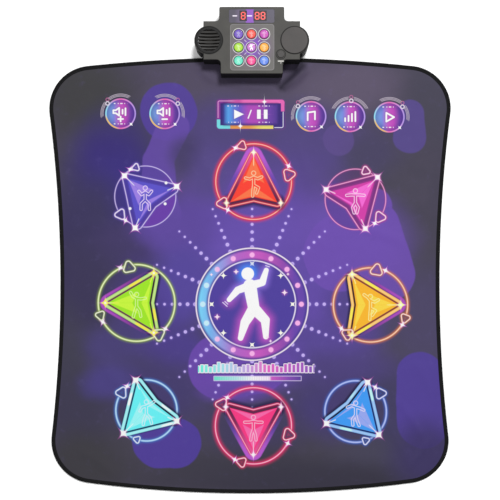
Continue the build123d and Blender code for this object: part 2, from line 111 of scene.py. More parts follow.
def mat_outline(inset, step=fabric_step):
    """Points round the mat, counter-clockwise, and the outward direction at each."""
    side_x = waist_half + side_radius
    back = np.array([0, mat_back - back_radius])
    front = np.array([0, mat_front + front_radius])
    right = np.array([side_x, waist_y])
    r = corner_radius
    back_corner = crossing(back, back_radius - r, right, side_radius + r, (waist_half, mat_back))
    front_corner = crossing(front, front_radius - r, right, side_radius + r, (waist_half, mat_front))
    flip = np.array([-1, 1])
    corners = [back_corner, back_corner * flip, front_corner * flip, front_corner]
    circles = [(back, 1), (right * flip, -1), (front, 1), (right, -1)]
    radii = [back_radius, side_radius, front_radius, side_radius]
    points, normals = [], []

    def add_arc(centre, radius, first, last, outward):
        sweep = (last - first + math.pi) % (2 * math.pi) - math.pi
        count = max(2, round(abs(sweep) * radius / step))
        for k in range(count):
            angle = first + sweep * k / count
            direction = np.array([math.cos(angle), math.sin(angle)])
            points.append(centre + direction * (radius - inset * outward))
            normals.append(direction * outward)

    def heading(place, centre):
        return math.atan2(place[1] - centre[1], place[0] - centre[0])

    for k in range(4):
        corner, after = corners[k], corners[(k + 1) % 4]
        (centre, outward), radius = circles[k], radii[k]
        before, before_out = circles[k - 1]
        # A concave side's outward direction points at its circle's centre, so half a turn on.
        turn_in = heading(corner, before) + (0 if before_out > 0 else math.pi)
        turn_out = heading(corner, centre) + (0 if outward > 0 else math.pi)
        add_arc(corner, r, turn_in, turn_out, 1)
        add_arc(centre, radius, heading(corner, centre), heading(after, centre), outward)
    return np.array(points), np.array(normals)


def pad_outline(name, step=fabric_step):
    """Points round a pad, counter-clockwise: a circle, or a rounded rectangle for the start pad."""
    centre, half = pads[name]
    if name != "pad_start":
        count = round(2 * math.pi * half[0] / step)
        angles = np.arange(count) * 2 * math.pi / count
        return centre + half[0] * np.stack([np.cos(angles), np.sin(angles)], axis=1)
    points = []
    for quarter in range(4):
        sign = np.array([(1, 1), (-1, 1), (-1, -1), (1, -1)][quarter])
        turn = np.linspace(0, math.pi / 2, 5) + quarter * math.pi / 2
        arc = np.stack([np.cos(turn), np.sin(turn)], axis=1) * start_corner
        points.extend(sign * (half - start_corner) + arc)
    points = np.array(points)
    spread = []
    for here, there in zip(points, np.roll(points, -1, axis=0)):
        pieces = max(1, round(np.linalg.norm(there - here) / step))
        spread.extend(here + (there - here) * k / pieces for k in range(pieces))
    return centre + np.array(spread)


def in_pad(name, x, y):
    """How far inside a pad's edge places are: positive inside."""
    centre, half = pads[name]
    if name != "pad_start":
        return half[0] - np.hypot(x - centre[0], y - centre[1])
    reach = [np.abs(v - c) - (h - start_corner) for v, c, h in zip((x, y), centre, half)]
    outside = np.hypot(np.maximum(reach[0], 0), np.maximum(reach[1], 0))
    return start_corner - outside - np.minimum(np.maximum(reach[0], reach[1]), 0)


# ============================================================ the fabric's relief
def smooth(low, high, value):
    """0 up to low and 1 from high on, smoothly between."""
    share = np.clip((value - low) / (high - low), 0, 1)
    return share * share * (3 - 2 * share)


def crease(x, y, start, end, width, height, bow=0.0):
    """A rounded ridge between two places, tapering to nothing at both ends and bowed sideways."""
    start, end = np.array(start, float), np.array(end, float)
    length = np.linalg.norm(end - start)
    unit = (end - start) / length
    along = ((x - start[0]) * unit[0] + (y - start[1]) * unit[1]) / length
    bowed = bow * 4 * along * (1 - along)
    across = -(x - start[0]) * unit[1] + (y - start[1]) * unit[0] - bowed
    taper = np.clip(4 * along * (1 - along), 0, 1) ** 0.7
    return height * taper * np.exp(-((across / width) ** 2))


CREASES = (
    # start, end, width, height, bow: long soft folds left from storage and handling
    ((-190, 395), (-262, 330), 9, 2.0, 6),
    ((-330, 40), (-150, 190), 12, 1.6, -14),
    ((-395, 20), (-300, 70), 12, 1.5, 8),
    ((-120, 230), (-60, 90), 12, 1.3, 8),
    ((100, 240), (150, 110), 14, 1.4, -10),
    ((180, 60), (330, 10), 13, 1.5, 12),
    ((300, 330), (360, 200), 16, 1.4, 10),
    ((110, -240), (200, -400), 13, 1.4, 12),
    ((40, -290), (120, -440), 11, 1.2, -10),
    ((-60, -270), (-150, -420), 13, 1.3, -10),
    ((-340, -180), (-250, -330), 14, 1.4, 12),
    ((300, -300), (372, -420), 10, 2.2, 8),
    ((270, -330), (330, -450), 10, 2.2, 6),
    ((340, -220), (395, -330), 11, 1.6, 5),
    ((330, -440), (375, -380), 8, 1.5, 0),
    ((-360, -400), (-270, -470), 12, 1.5, 6),
    ((-380, 250), (-330, 330), 12, 1.4, 5),
    ((64, 338), (122, 398), 10, 9.0, -8),
    ((-60, 350), (-110, 392), 9, 3.2, 6),
    ((-50, 350), (60, 345), 8, 2.2, -5),
)


def relief(x, y):
    """The top fabric's height above its flat level: soft waves, folds, and a dip along the tape."""
    height = 0.45 * np.sin(x / 61 + 1.3 * np.sin(y / 97)) * np.sin(y / 73 + 1.1 * np.sin(x / 83 + 2))
    height += 0.25 * np.sin(x / 29 + 2.0 * np.sin(y / 41 + 1)) * np.sin(y / 37 + 1.7 * np.sin(x / 47))
    height += 0.10 * np.sin((x + y) / 11 + 2.5 * np.sin(y / 31)) * np.sin((x - y) / 13 + np.sin(x / 17))
    height = height + 0.5
    for place in CREASES:
        height = height + crease(x, y, *place)
    return height


def edge_distance(x, y):
    """How far inside the mat's edge places are, nearly: by the four arcs and the rounded corners."""
    side_x = waist_half + side_radius
    gaps = [
        back_radius - np.hypot(x, y - (mat_back - back_radius)),
        front_radius - np.hypot(x, y - (mat_front + front_radius)),
        np.hypot(x - side_x, y - waist_y) - side_radius,
        np.hypot(x + side_x, y - waist_y) - side_radius,
    ]
    # Two edges meet in a rounded corner: inside it the distance is to the corner's circle.
    lengthwise = np.minimum(gaps[0], gaps[1])
    sideways = np.minimum(gaps[2], gaps[3])
    in_corner = (lengthwise < corner_radius) & (sideways < corner_radius)
    round_gap = corner_radius - np.hypot(corner_radius - lengthwise, corner_radius - sideways)
    return np.where(in_corner, round_gap, np.minimum(lengthwise, sideways))


def fabric_height(x, y):
    """The top fabric's own height in millimetres."""
    inside = edge_distance(x, y)
    return cover_top + relief(x, y) * smooth(6, 34, inside) - 0.35 * (1 - smooth(6, 22, inside))


def fabric_normals(x, y):
    """The directions in which the top fabric faces, from its slopes."""
    step = 0.5
    slope_x = (fabric_height(x + step, y) - fabric_height(x - step, y)) / (2 * step)
    slope_y = (fabric_height(x, y + step) - fabric_height(x, y - step)) / (2 * step)
    normals = np.stack([-slope_x, -slope_y, np.ones_like(slope_x)], axis=-1)
    return normals / np.linalg.norm(normals, axis=-1, keepdims=True)


# ============================================================ meshes
def add_object(name, data):
    """Puts a mesh, a lamp or a camera in the scene."""
    added = bpy.data.objects.new(name, data)
    bpy.context.scene.collection.objects.link(added)
    return added


def new_piece(name, places, faces, materials, face_slots=None, smooth_faces=True):
    """A mesh object from places in millimetres."""
    mesh = bpy.data.meshes.new(name)
    mesh.from_pydata((np.asarray(places, float) * MM).tolist(), [], faces)
    for material in materials:
        mesh.materials.append(material)
    if face_slots is not None:
        mesh.polygons.foreach_set("material_index", np.asarray(face_slots, np.int32))
    mesh.polygons.foreach_set("use_smooth", np.full(len(mesh.polygons), smooth_faces))
    mesh.update()
    return add_object(name, mesh)


def triangulated_mat():
    """The whole top fabric as triangles: its places, its triangles and the loops inside them."""
    border, _ = mat_outline(cover_inset)
    loops = [border] + [pad_outline(name) for name in PAD_NAMES]
    xs = np.arange(mat_low[0], mat_high[0], fabric_step)
    ys = np.arange(mat_front, mat_back, fabric_step * math.sqrt(3) / 2)
    grid_x, grid_y = np.meshgrid(xs, ys)
    grid_x = grid_x + (np.arange(len(ys)) % 2)[:, None] * fabric_step / 2
    x, y = grid_x.ravel(), grid_y.ravel()
    keep = edge_distance(x, y) > cover_inset + fabric_clearance
    for name in PAD_NAMES:
        keep &= np.abs(in_pad(name, x, y)) > fabric_clearance
    inner = np.stack([x[keep], y[keep]], axis=1)
    edges, count = [], 0
    for loop in loops:
        edges += [(count + k, count + (k + 1) % len(loop)) for k in range(len(loop))]
        count += len(loop)
    places = np.concatenate(loops + [inner])
    found = geometry.delaunay_2d_cdt([Vector(p) for p in places], edges, [], 0, 1e-6)
    flat = np.array([tuple(p) for p in found[0]])
    triangles = np.array([tuple(t) for t in found[2]])
    middle_of = flat[triangles].mean(axis=1)
    inside = edge_distance(middle_of[:, 0], middle_of[:, 1]) > cover_inset - 0.2
    return flat, triangles[inside]


def closed_patch(name, flat, triangles, low, materials, slots):
    """A patch of the fabric as a closed solid: the relief above, a flat face below, walls between."""
    used, triangles = np.unique(triangles, return_inverse=True)
    triangles = triangles.reshape(-1, 3)
    plan = flat[used]
    count = len(plan)
    top = np.column_stack([plan, fabric_height(plan[:, 0], plan[:, 1])])
    bottom = np.column_stack([plan, np.full(count, low)])
    directed = dict.fromkeys(edge for a, b, c in triangles.tolist() for edge in ((a, b), (b, c), (c, a)))
    rim = [(a, b) for a, b in directed if (b, a) not in directed]
    faces = triangles.tolist()
    faces += (triangles[:, ::-1] + count).tolist()
    faces += [(b, a, a + count, b + count) for a, b in rim]
    face_slots = list(slots) + list(slots) + [slots[0]] * len(rim)
    piece = new_piece(name, np.concatenate([top, bottom]), faces, materials, face_slots)
    # The top keeps the fabric's own normals, so neighbouring patches join with no seam.
    mesh = piece.data
    normals = np.zeros((len(mesh.loops), 3))
    mesh.corner_normals.foreach_get("vector", normals.ravel())
    corner = np.zeros(len(mesh.loops), np.int32)
    mesh.loops.foreach_get("vertex_index", corner)
    own = fabric_normals(plan[:, 0], plan[:, 1])
    top_corners = 3 * len(triangles)
    normals[:top_corners] = own[corner[:top_corners]]
    normals[top_corners:2 * top_corners] = (0, 0, -1)
    for k, (a, b) in enumerate(rim):
        side = np.array([plan[b][1] - plan[a][1], plan[a][0] - plan[b][0], 0])
        first = 2 * top_corners + 4 * k
        normals[first:first + 4] = side / np.linalg.norm(side)
    mesh.normals_split_custom_set(normals.tolist())
    return piece


def press_weights(piece, name, soft_edge):
    """Bakes a patch's placement into its mesh and works out press weights, nothing at the edge and the whole
    travel further in; the weights are kept nowhere.
    """
    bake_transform(piece)
    count = len(piece.data.vertices)
    places = np.zeros(count * 3)
    piece.data.vertices.foreach_get("co", places)
    places = places.reshape(-1, 3) / MM
    weights = smooth(0, soft_edge, in_pad(name, places[:, 0], places[:, 1]))


def swept_tape(name, profile, step, pucker, material):
    """A closed strip round the mat's edge; the profile is (inset, height) pairs in a loop."""
    rings = []
    for inset, height in profile:
        points, _ = mat_outline(inset, step)
        ripple = pucker * np.sin(np.arange(len(points)) * step / 5.2) * (height > 3)
        rings.append(np.column_stack([points, np.full(len(points), height) + ripple]))
    around, count = len(rings[0]), len(rings)
    places = np.concatenate(rings)
    faces = []
    for k in range(count):
        after = (k + 1) % count
        for j in range(around):
            ahead = (j + 1) % around
            faces.append((k * around + j, after * around + j, after * around + ahead, k * around + ahead))
    return new_piece(name, places, faces, [material])


def stitch_row(name, inset, height, pitch, material):
    """A row of short thread stitches on the tape, each a small six-sided lozenge."""
    points, normals = mat_outline(inset, pitch)
    long_half, wide, tall = 0.36 * pitch, 0.42, 0.38  # half a stitch's length, width and thickness
    places, faces = [], []
    for point, normal in zip(points, normals):
        along = np.array([-normal[1], normal[0], 0])
        across = np.array([normal[0], normal[1], 0])
        centre = np.array([point[0], point[1], height])
        first = len(places)
        for share, size in ((-1, 0.25), (-0.6, 1), (0.6, 1), (1, 0.25)):
            for turn in range(6):
                angle = turn * math.pi / 3
                shift = across * math.cos(angle) * wide + np.array([0, 0, math.sin(angle) * tall])
                places.append(centre + along * long_half * share + shift * size)
        for ring in range(3):
            for turn in range(6):
                a, b = first + ring * 6 + turn, first + ring * 6 + (turn + 1) % 6
                faces.append((a, b, b + 6, a + 6))
        faces.append(tuple(first + turn for turn in range(5, -1, -1)))
        faces.append(tuple(first + 18 + turn for turn in range(6)))
    return new_piece(name, places, faces, [material])


def slab(name, inset, low, high, material):
    """A flat closed sheet of the mat's shape."""
    points, _ = mat_outline(inset, 8.0)
    count = len(points)
    places = np.concatenate([np.column_stack([points, np.full(count, z)]) for z in (low, high)])
    faces = [tuple(range(count - 1, -1, -1)), tuple(range(count, 2 * count))]
    faces += [(k, (k + 1) % count, (k + 1) % count + count, k + count) for k in range(count)]
    return new_piece(name, places, faces, [material], smooth_faces=False)


# ============================================================ shader arithmetic
def linear(text):
    """A colour written #RRGGBB as the linear colour that shaders use."""
    shares = [int(text[k:k + 2], 16) / 255 for k in (1, 3, 5)]
    return tuple(s / 12.92 if s <= 0.04045 else ((s + 0.055) / 1.055) ** 2.4 for s in shares) + (1.0,)


def feed(tree, item, socket):
    """Gives a node's input a constant, or links another node's output to it."""
    if isinstance(item, str):
        socket.default_value = linear(item)
    elif isinstance(item, (Value, Place)):
        tree.links.new(item.socket, socket)
    elif isinstance(item, bpy.types.NodeSocket):
        tree.links.new(item, socket)
    else:
        socket.default_value = item


class Value:
    """A number that varies over the surface, as a node's output, with arithmetic that adds nodes."""

    def __init__(self, tree, socket):
        self.tree, self.socket = tree, socket

    def math(self, operation, *others, clamp=False):
        node = self.tree.nodes.new("ShaderNodeMath")
        node.operation, node.use_clamp = operation, clamp
        for item, socket in zip((self, *others), node.inputs):
            feed(self.tree, item, socket)
        return Value(self.tree, node.outputs[0])

    def __add__(self, other):
        return self.math("ADD", other)

    def __sub__(self, other):
        return self.math("SUBTRACT", other)

    def __mul__(self, other):
        return self.math("MULTIPLY", other)

    def __truediv__(self, other):
        return self.math("DIVIDE", other)

    def __abs__(self):
        return self.math("ABSOLUTE")

    def __neg__(self):
        return self * -1.0

    def low(self, other):
        return self.math("MINIMUM", other)

    def high(self, other):
        return self.math("MAXIMUM", other)

    def share_of(self, half):
        """0 at a half width below the middle and 1 at a half width above it."""
        return self * (0.5 / half) + 0.5

    def clamped(self):
        return self.math("ADD", 0.0, clamp=True)

    def over(self, start, end):
        """0 up to start and 1 from end on, smoothly between; end may be below start."""
        node = self.tree.nodes.new("ShaderNodeMapRange")
        node.interpolation_type = "SMOOTHSTEP"
        feed(self.tree, self, node.inputs["Value"])
        low, high = (0.0, 1.0) if start < end else (1.0, 0.0)
        for name, amount in (("From Min", min(start, end)), ("From Max", max(start, end)),
                             ("To Min", low), ("To Max", high)):
            node.inputs[name].default_value = amount
        return Value(self.tree, node.outputs["Result"])

    def ramp(self, *stops):
        """A colour that changes with the value; stops are (value from 0 to 1, colour)."""
        node = self.tree.nodes.new("ShaderNodeValToRGB")
        feed(self.tree, self, node.inputs[0])
        elements = node.color_ramp.elements
        while len(elements) < len(stops):
            elements.new(1.0)
        for element, (position, colour) in zip(elements, stops):
            element.position, element.color = position, linear(colour)
        return node.outputs["Color"]


def vector_math(tree, operation, *items, scale=None, result=0):
    """A vector operation's output: result 0 is a place, result 1 is a number."""
    node = tree.nodes.new("ShaderNodeVectorMath")
    node.operation = operation
    for item, socket in zip(items, node.inputs):
        feed(tree, item, socket)
    if scale is not None:
        feed(tree, scale, node.inputs["Scale"])
    return node.outputs[result]


def plan(place):
    """A plan place or direction, written as a vector."""
    return (place[0], place[1], 0.0)


def joined(x, y):
    """A place from its two coordinates."""
    node = x.tree.nodes.new("ShaderNodeCombineXYZ")
    feed(x.tree, x, node.inputs[0])
    feed(x.tree, y, node.inputs[1])
    return Place(x.tree, node.outputs[0])


class Place:
    """A plan position on the surface, in millimetres."""

    def __init__(self, tree, socket):
        self.tree, self.socket = tree, socket

    def mapped(self, operation, *items, scale=None):
        """The place that a vector operation makes of this one."""
        return Place(self.tree, vector_math(self.tree, operation, self, *items, scale=scale))

    def measured(self, operation, *items):
        """The number that a vector operation makes of this place."""
        return Value(self.tree, vector_math(self.tree, operation, self, *items, result=1))

    def along(self, direction):
        return self.measured("DOT_PRODUCT", plan(direction))

    @property
    def x(self):
        return self.along((1.0, 0.0))

    @property
    def y(self):
        return self.along((0.0, 1.0))

    def about(self, centre, degrees=0.0):
        """The place seen from a centre, with x turned to a direction."""
        moved = self.mapped("SUBTRACT", plan(centre))
        if degrees == 0:
            return moved
        turn = math.radians(degrees)
        return joined(moved.along((math.cos(turn), math.sin(turn))),
                      moved.along((-math.sin(turn), math.cos(turn))))

    def scaled(self, factor):
        return self.mapped("SCALE", scale=factor)

    def mirrored(self):
        return joined(self.x, abs(self.y))

    def to(self, centre):
        return self.measured("DISTANCE", plan(centre))

    def in_ellipse(self, centre, radii):
        """1 in an ellipse's inner quarter, 0 outside it, smoothly between."""
        stretch = (1 / radii[0], 1 / radii[1], 0.0)
        shift = (-centre[0] / radii[0], -centre[1] / radii[1], 0.0)
        return self.mapped("MULTIPLY_ADD", stretch, shift).measured("LENGTH").over(1.0, 0.25)

    def to_segment(self, a, b, radii=None):
        """The distance to the straight line from a to b; radii make it a limb that tapers."""
        span = (b[0] - a[0], b[1] - a[1], 0.0)
        square = span[0] ** 2 + span[1] ** 2
        from_a = self.mapped("SUBTRACT", plan(a))
        direction = (span[0] / square, span[1] / square, 0.0)
        share = from_a.measured("DOT_PRODUCT", direction).clamped()
        nearest = vector_math(self.tree, "SCALE", span, scale=share)
        distance = from_a.measured("DISTANCE", nearest)
        if radii is None:
            return distance
        if radii[0] == radii[1]:
            return distance - radii[0]
        return distance - (share * (radii[1] - radii[0]) + radii[0])

    def stroke(self, *points, close=False):
        """The distance to a line through several points."""
        ends = list(zip(points, points[1:])) + ([(points[-1], points[0])] if close else [])
        return nearest_of(self.to_segment(a, b) for a, b in ends)

    def beyond(self, a, b, inner):
        """The distance to the endless line through a and b, negative on the inner place's side."""
        normal = np.array([b[1] - a[1], a[0] - b[0]], float)
        normal /= np.linalg.norm(normal)
        if np.dot(np.array(inner) - a, normal) > 0:
            normal = -normal
        return self.along(normal) - float(np.dot(a, normal))

    def in_box(self, half, corner=0.0):
        """The distance to a rounded rectangle about the origin, negative inside."""
        over_x = abs(self.x) - (half[0] - corner)
        over_y = abs(self.y) - (half[1] - corner)
        outer = joined(over_x.high(0.0), over_y.high(0.0)).to((0, 0))
        return outer + over_x.high(over_y).low(0.0) - corner


def nearest_of(distances):
    """The smallest of several distances."""
    found, *others = distances
    for distance in others:
        found = found.low(distance)
    return found


def inside(distance, soft=1.2):
    """1 where a distance is below zero, 0 where it is above, over a narrow soft edge."""
    return (distance * (-1.0 / soft)).math("ADD", 0.5, clamp=True)


def line(distance, width, soft=1.2):
    return inside(abs(distance) - width / 2, soft)


def glow(distance, reach):
    """1 on a line, fading to 0 at a distance."""
    share = (distance.high(0.0) * (-1.0 / reach)).math("ADD", 1.0, clamp=True)
    return share * share


def star(place, size, slim=1.0):
    """How far outside a four-pointed star a place is; slim makes its rays along y shorter."""
    roots = abs(place.x).math("SQRT") + (abs(place.y) * (1 / slim)).math("SQRT")
    return roots * roots - size


class Print:
    """A surface's colour, built up layer by layer as a print is."""

    def __init__(self, tree, colour):
        self.tree, self.colour = tree, colour

    def lay(self, colour, cover, way="MIX"):
        node = self.tree.nodes.new("ShaderNodeMix")
        node.data_type, node.blend_type = "RGBA", way
        feed(self.tree, cover, node.inputs[0])
        feed(self.tree, self.colour, node.inputs[6])
        feed(self.tree, colour, node.inputs[7])
        self.colour = node.outputs[2]

    def light(self, colour, amount):
        self.lay(colour, amount, "SCREEN")

    def neon(self, distance, core, tube, halo, width, reach, strength=0.9, where=1.0):
        """A glowing tube: a wide coloured halo, the tube's own colour and a thin pale core."""
        away = abs(distance)
        self.lay(halo, glow(away - width / 2, reach) * where * strength)
        self.lay(tube, line(distance, width, 2.2) * where)
        self.lay(core, line(distance, width * 0.42, 1.2) * where * 0.95)


def noise(tree, place, scale, detail=2.0, roughness=0.5, result="Fac"):
    node = tree.nodes.new("ShaderNodeTexNoise")
    feed(tree, place, node.inputs["Vector"])
    for name, amount in (("Scale", scale), ("Detail", detail), ("Roughness", roughness)):
        node.inputs[name].default_value = amount
    socket = node.outputs["Fac" if result == "Fac" else "Color"]
    return Value(tree, socket) if result == "Fac" else socket


def surface_place(tree, flat=True):
    """The surface's own position in millimetres; flattened to its plan, or in space."""
    where = tree.nodes.new("ShaderNodeTexCoord").outputs["Object"]
    scale = (1 / MM, 1 / MM, 0.0 if flat else 1 / MM)
    return Place(tree, vector_math(tree, "MULTIPLY", where, scale))


def surface_height(tree):
    """The surface's own height in millimetres."""
    where = tree.nodes.new("ShaderNodeTexCoord").outputs["Object"]
    return Value(tree, vector_math(tree, "DOT_PRODUCT", where, (0.0, 0.0, 1 / MM), result=1))


def new_material(name, metallic=0.0, **constants):
    """A material with its shader's constant values set on the shader's own sockets."""
    material = bpy.data.materials.new(name)
    material.use_nodes = True
    tree = material.node_tree
    shader = tree.nodes["Principled BSDF"]
    shader.inputs["Metallic"].default_value = metallic
    for key, amount in constants.items():
        socket = shader.inputs[key.replace("_", " ")]
        socket.default_value = linear(amount) if isinstance(amount, str) else amount
    return material, tree, shader


def bump(tree, shader, height, distance, strength=1.0):
    """Fine relief: height from 0 to 1 stands for the distance, in metres."""
    node = tree.nodes.new("ShaderNodeBump")
    node.inputs["Strength"].default_value = strength
    node.inputs["Distance"].default_value = distance
    feed(tree, height, node.inputs["Height"])
    tree.links.new(node.outputs["Normal"], shader.inputs["Normal"])


def finish_surface(tree, shader, colour, roughness, height, depth, strength):
    """Links a surface's colour and roughness, and its fine relief of a depth in metres."""
    feed(tree, colour, shader.inputs["Base Color"])
    feed(tree, roughness, shader.inputs["Roughness"])
    bump(tree, shader, height, depth, strength)


def weave(place, pitch):
    """A plain weave's height: threads crossing over and under, from 0 to 1."""
    wave = 2 * math.pi / pitch
    across = (place.x * wave).math("SINE")
    along = (place.y * wave).math("SINE")
    return (across * along) * 0.5 + 0.5


# ============================================================ the mat's print: ground, with painted light and shade
GROUND = (
    # middle, radii, colour: broad soft fields of the ground's colour, dye and painted light and shade
    # together
    ((0, 350), (360, 120), "#534B62"),
    ((200, 345), (170, 80), "#5F556C"),
    ((-340, 330), (150, 120), "#414044"),
    ((390, 320), (110, 150), "#474455"),
    ((-70, 235), (130, 120), "#50447C"),
    ((120, 225), (190, 120), "#524580"),
    ((250, 205), (90, 75), "#484262"),
    ((0, 80), (280, 170), "#6049A0"),
    ((30, 15), (290, 120), "#6950B0"),
    ((200, 30), (180, 130), "#6C50AE"),
    ((-280, 175), (130, 170), "#3A2E76"),
    ((-265, 120), (120, 110), "#3C3080"),
    ((-340, 60), (120, 150), "#3C365E"),
    ((-255, 10), (120, 90), "#443A68"),
    ((-150, 50), (120, 80), "#5C469C"),
    ((-350, -70), (130, 160), "#3C3658"),
    ((-205, -110), (120, 130), "#493A84"),
    ((-140, -60), (100, 130), "#57479E"),
    ((-280, -190), (120, 70), "#4A4178"),
    ((-150, -200), (120, 80), "#4E3F8C"),
    ((-400, -230), (90, 190), "#424052"),
    ((140, -90), (180, 170), "#644CA8"),
    ((225, -120), (100, 110), "#54458C"),
    ((355, -130), (120, 150), "#4E4768"),
    ((120, -200), (200, 90), "#5A4898"),
    ((200, -245), (180, 70), "#504380"),
    ((-10, -255), (170, 70), "#6248A0"),
    ((170, -320), (150, 100), "#483E74"),
    ((290, -330), (120, 130), "#443F64"),
    ((5, -365), (150, 100), "#443D60"),
    ((-200, -290), (190, 110), "#463D70"),
    ((-350, -330), (110, 150), "#3F3B52"),
    ((0, -455), (400, 80), "#3F3C4A"),
    ((270, -435), (150, 80), "#48455A"),
    ((-340, -435), (140, 100), "#3F3D44"),
    ((-290, -265), (80, 60), "#4C4284"),
    ((150, -470), (330, 60), "#3A3747"),
)

LOBES = (
    # colour, cover, limbs as (from, to, radius at each end): crisp-edged shapes of lighter dye
    ("#54409C", 0.9, (((-168, 292), (-168, 292), (60, 60)),)),
    ("#664BA8", 0.85, (((-158, 262), (-190, 190), (34, 30)), ((-190, 190), (-187, 110), (31, 38)),
                       ((-187, 110), (-180, 80), (38, 40)))),
    ("#5F4C8E", 0.7, (((182, 234), (182, 234), (33, 33)),)),
    ("#58498E", 0.9, (((329, 238), (329, 285), (33, 30)),)),
    ("#7150B4", 0.85, (((248, 48), (258, 100), (63, 34)), ((248, 48), (288, -45), (63, 54)),
                       ((190, 0), (236, 14), (80, 80)))),
    ("#55439E", 0.9, (((352, -250), (352, -250), (49, 49)), ((352, -250), (358, -350), (49, 54)))),
    ("#6E4AB0", 0.9, (((-58, -234), (20, -225), (70, 62)),)),
    ("#523F9E", 0.95, (((-152, -393), (-185, -385), (51, 58)),)),
)

SHADES = (
    # middle, radii, colour: darker fields over the lobes' ends, partly dye and partly painted shade
    ((-128, 200), (58, 60), "#453C68"),
    ((-85, 165), (60, 90), "#564888"),
    ((362, -415), (110, 100), "#403768"),
    ((60, -215), (70, 70), "#6249A4"),
    ((-160, 50), (100, 60), "#6049A0"),
    ((-40, -290), (90, 30), "#6648A6"),
)
FOLD_PAINTED_SHADOW = ((66.0, 344.0), (106.0, 388.0), (7.0, 9.0))  # painted shadow of the console's notch on the near side of the fold
BROAD_DRIFT, FINE_DRIFT = 46.0, 16.0  # how far the ground's soft fields and crisp shapes wander


def ground_group():
    """The ground's colour as one node group, shared by every patch of the mat's top: dye with painted light
    and shade in its soft fields, and a painted shadow by the console.
    """
    tree = bpy.data.node_groups.new("mat ground", "ShaderNodeTree")
    tree.interface.new_socket("Colour", in_out="OUTPUT", socket_type="NodeSocketColor")
    place = surface_place(tree)
    drift = noise(tree, place, 0.008, detail=3.0, result="Color")
    centred = Place(tree, drift).mapped("SUBTRACT", (0.5, 0.5, 0.5))
    broad, fine = (centred.mapped("MULTIPLY_ADD", (reach, reach, 0.0), place)
                   for reach in (BROAD_DRIFT, FINE_DRIFT))
    art = Print(tree, noise(tree, place, 0.02).ramp((0.3, "#474354"), (0.7, "#4B4658")))
    for centre, radii, colour in GROUND:
        art.lay(colour, broad.in_ellipse(centre, radii))
    for colour, cover, limbs in LOBES:
        shape = nearest_of(fine.to_segment(a, (b[0] + 0.01, b[1]), radii) for a, b, radii in limbs)
        art.lay(colour, inside(shape, 3.0) * cover)
    for centre, radii, colour in SHADES:
        art.lay(colour, fine.in_ellipse(centre, radii) * 0.85)
    # painted shadow of the console's notch beside the fold, laid into the ground's colour
    art.lay("#1E1C28", inside(fine.to_segment(*FOLD_PAINTED_SHADOW), 14.0) * 0.75)
    mottle = noise(tree, place, 0.05, detail=5.0, roughness=0.65)
    art.lay("#2C2840", mottle.over(0.55, 0.85) * 0.12)
    art.lay("#8A7CC8", mottle.over(0.45, 0.15) * 0.10)
    out = tree.nodes.new("NodeGroupOutput")
    tree.links.new(art.colour, out.inputs[0])
    return tree


# ============================================================ the mat's print: rays and medallion
MEDALLION = middle("pad_centre")
RAY_COUNT = 16
RAY_FIRST, RAY_PITCH, RAY_DOTS = 117.2, 15.84, 7
RAY_DOT_RADIUS, RAY_DOT_SHRINK = 4.1, 0.36  # the first dot, and how much smaller each next one is


def polar(place, count):
    """The distance from the origin, and the place folded into one of a number of equal sectors."""
    radius = place.to((0, 0))
    sector = 2 * math.pi / count
    angle = place.y.math("ARCTAN2", place.x)
    folded = (angle + sector / 2).math("FLOORED_MODULO", sector) - sector / 2
    return radius, joined(radius * folded.math("COSINE"), radius * folded.math("SINE"))


def rays(art, place):
    """Rows of dots that shrink as they leave the medallion."""
    radius, folded = polar(place.about(MEDALLION), RAY_COUNT)
    step = ((radius - RAY_FIRST) / RAY_PITCH).math("ROUND").high(0.0).low(float(RAY_DOTS - 1))
    across = folded.y
    away = folded.x - (step * RAY_PITCH + RAY_FIRST)
    distance = joined(away, across).to((0, 0)) + step * RAY_DOT_SHRINK - RAY_DOT_RADIUS
    art.light("#5A4AA0", glow(distance, 5.0) * 0.5)
    art.lay("#D2BCFF", inside(distance, 1.6))
    art.lay("#B49CF0", inside(distance + 2.0, 1.0) * 0.5)


# Plain figures of regular proportions: every pose is only the directions of its limbs, in degrees.
HEAD_PLACE, HEAD_RADIUS = (0.0, 17.5), 4.4
NECK, HIP = (0.0, 9.0), (0.0, -7.0)
ARM_LENGTHS, LEG_LENGTHS = (9.0, 9.0), (11.5, 11.5)


def at_angle(radius, degrees):
    """The place at a distance and a direction from the origin."""
    return radius * np.array([math.cos(math.radians(degrees)), math.sin(math.radians(degrees))])


def limb_through(start, lengths, directions):
    """A limb's joints, from where it starts."""
    joints = [start]
    for length, direction in zip(lengths, directions):
        joints.append(tuple(joints[-1] + at_angle(length, direction)))
    return tuple(joints)


def posed(arms, legs):
    """A figure's limbs through their joints: body, two arms and two legs."""
    return ((NECK, HIP),
            *(limb_through(NECK, ARM_LENGTHS, directions) for directions in arms),
            *(limb_through(HIP, LEG_LENGTHS, directions) for directions in legs))


DANCER = posed(arms=((190, 218), (5, 62)), legs=((228, 244), (304, 262)))
DANCER_SCALE, DANCER_SHIFT, DANCER_LEAN = 2.95, (0.0, 12.0), 10.0
LIMB_RADII = ((4.6, 4.0), (3.0, 2.5, 1.7), (3.0, 2.5, 1.7), (4.0, 3.2, 1.9), (4.0, 3.2, 1.9))


def dancer_shape(q):
    """The distance to the large dancer's body, and to the head."""
    p = q.about(DANCER_SHIFT, DANCER_LEAN).scaled(1 / DANCER_SCALE)
    parts = []
    for joints, radii in zip(DANCER, LIMB_RADII):
        spans = zip(joints, joints[1:], radii, radii[1:])
        parts += [p.to_segment(a, b, (radius_a, radius_b)) for a, b, radius_a, radius_b in spans]
    return nearest_of(parts) * DANCER_SCALE, (p.to(HEAD_PLACE) - HEAD_RADIUS) * DANCER_SCALE


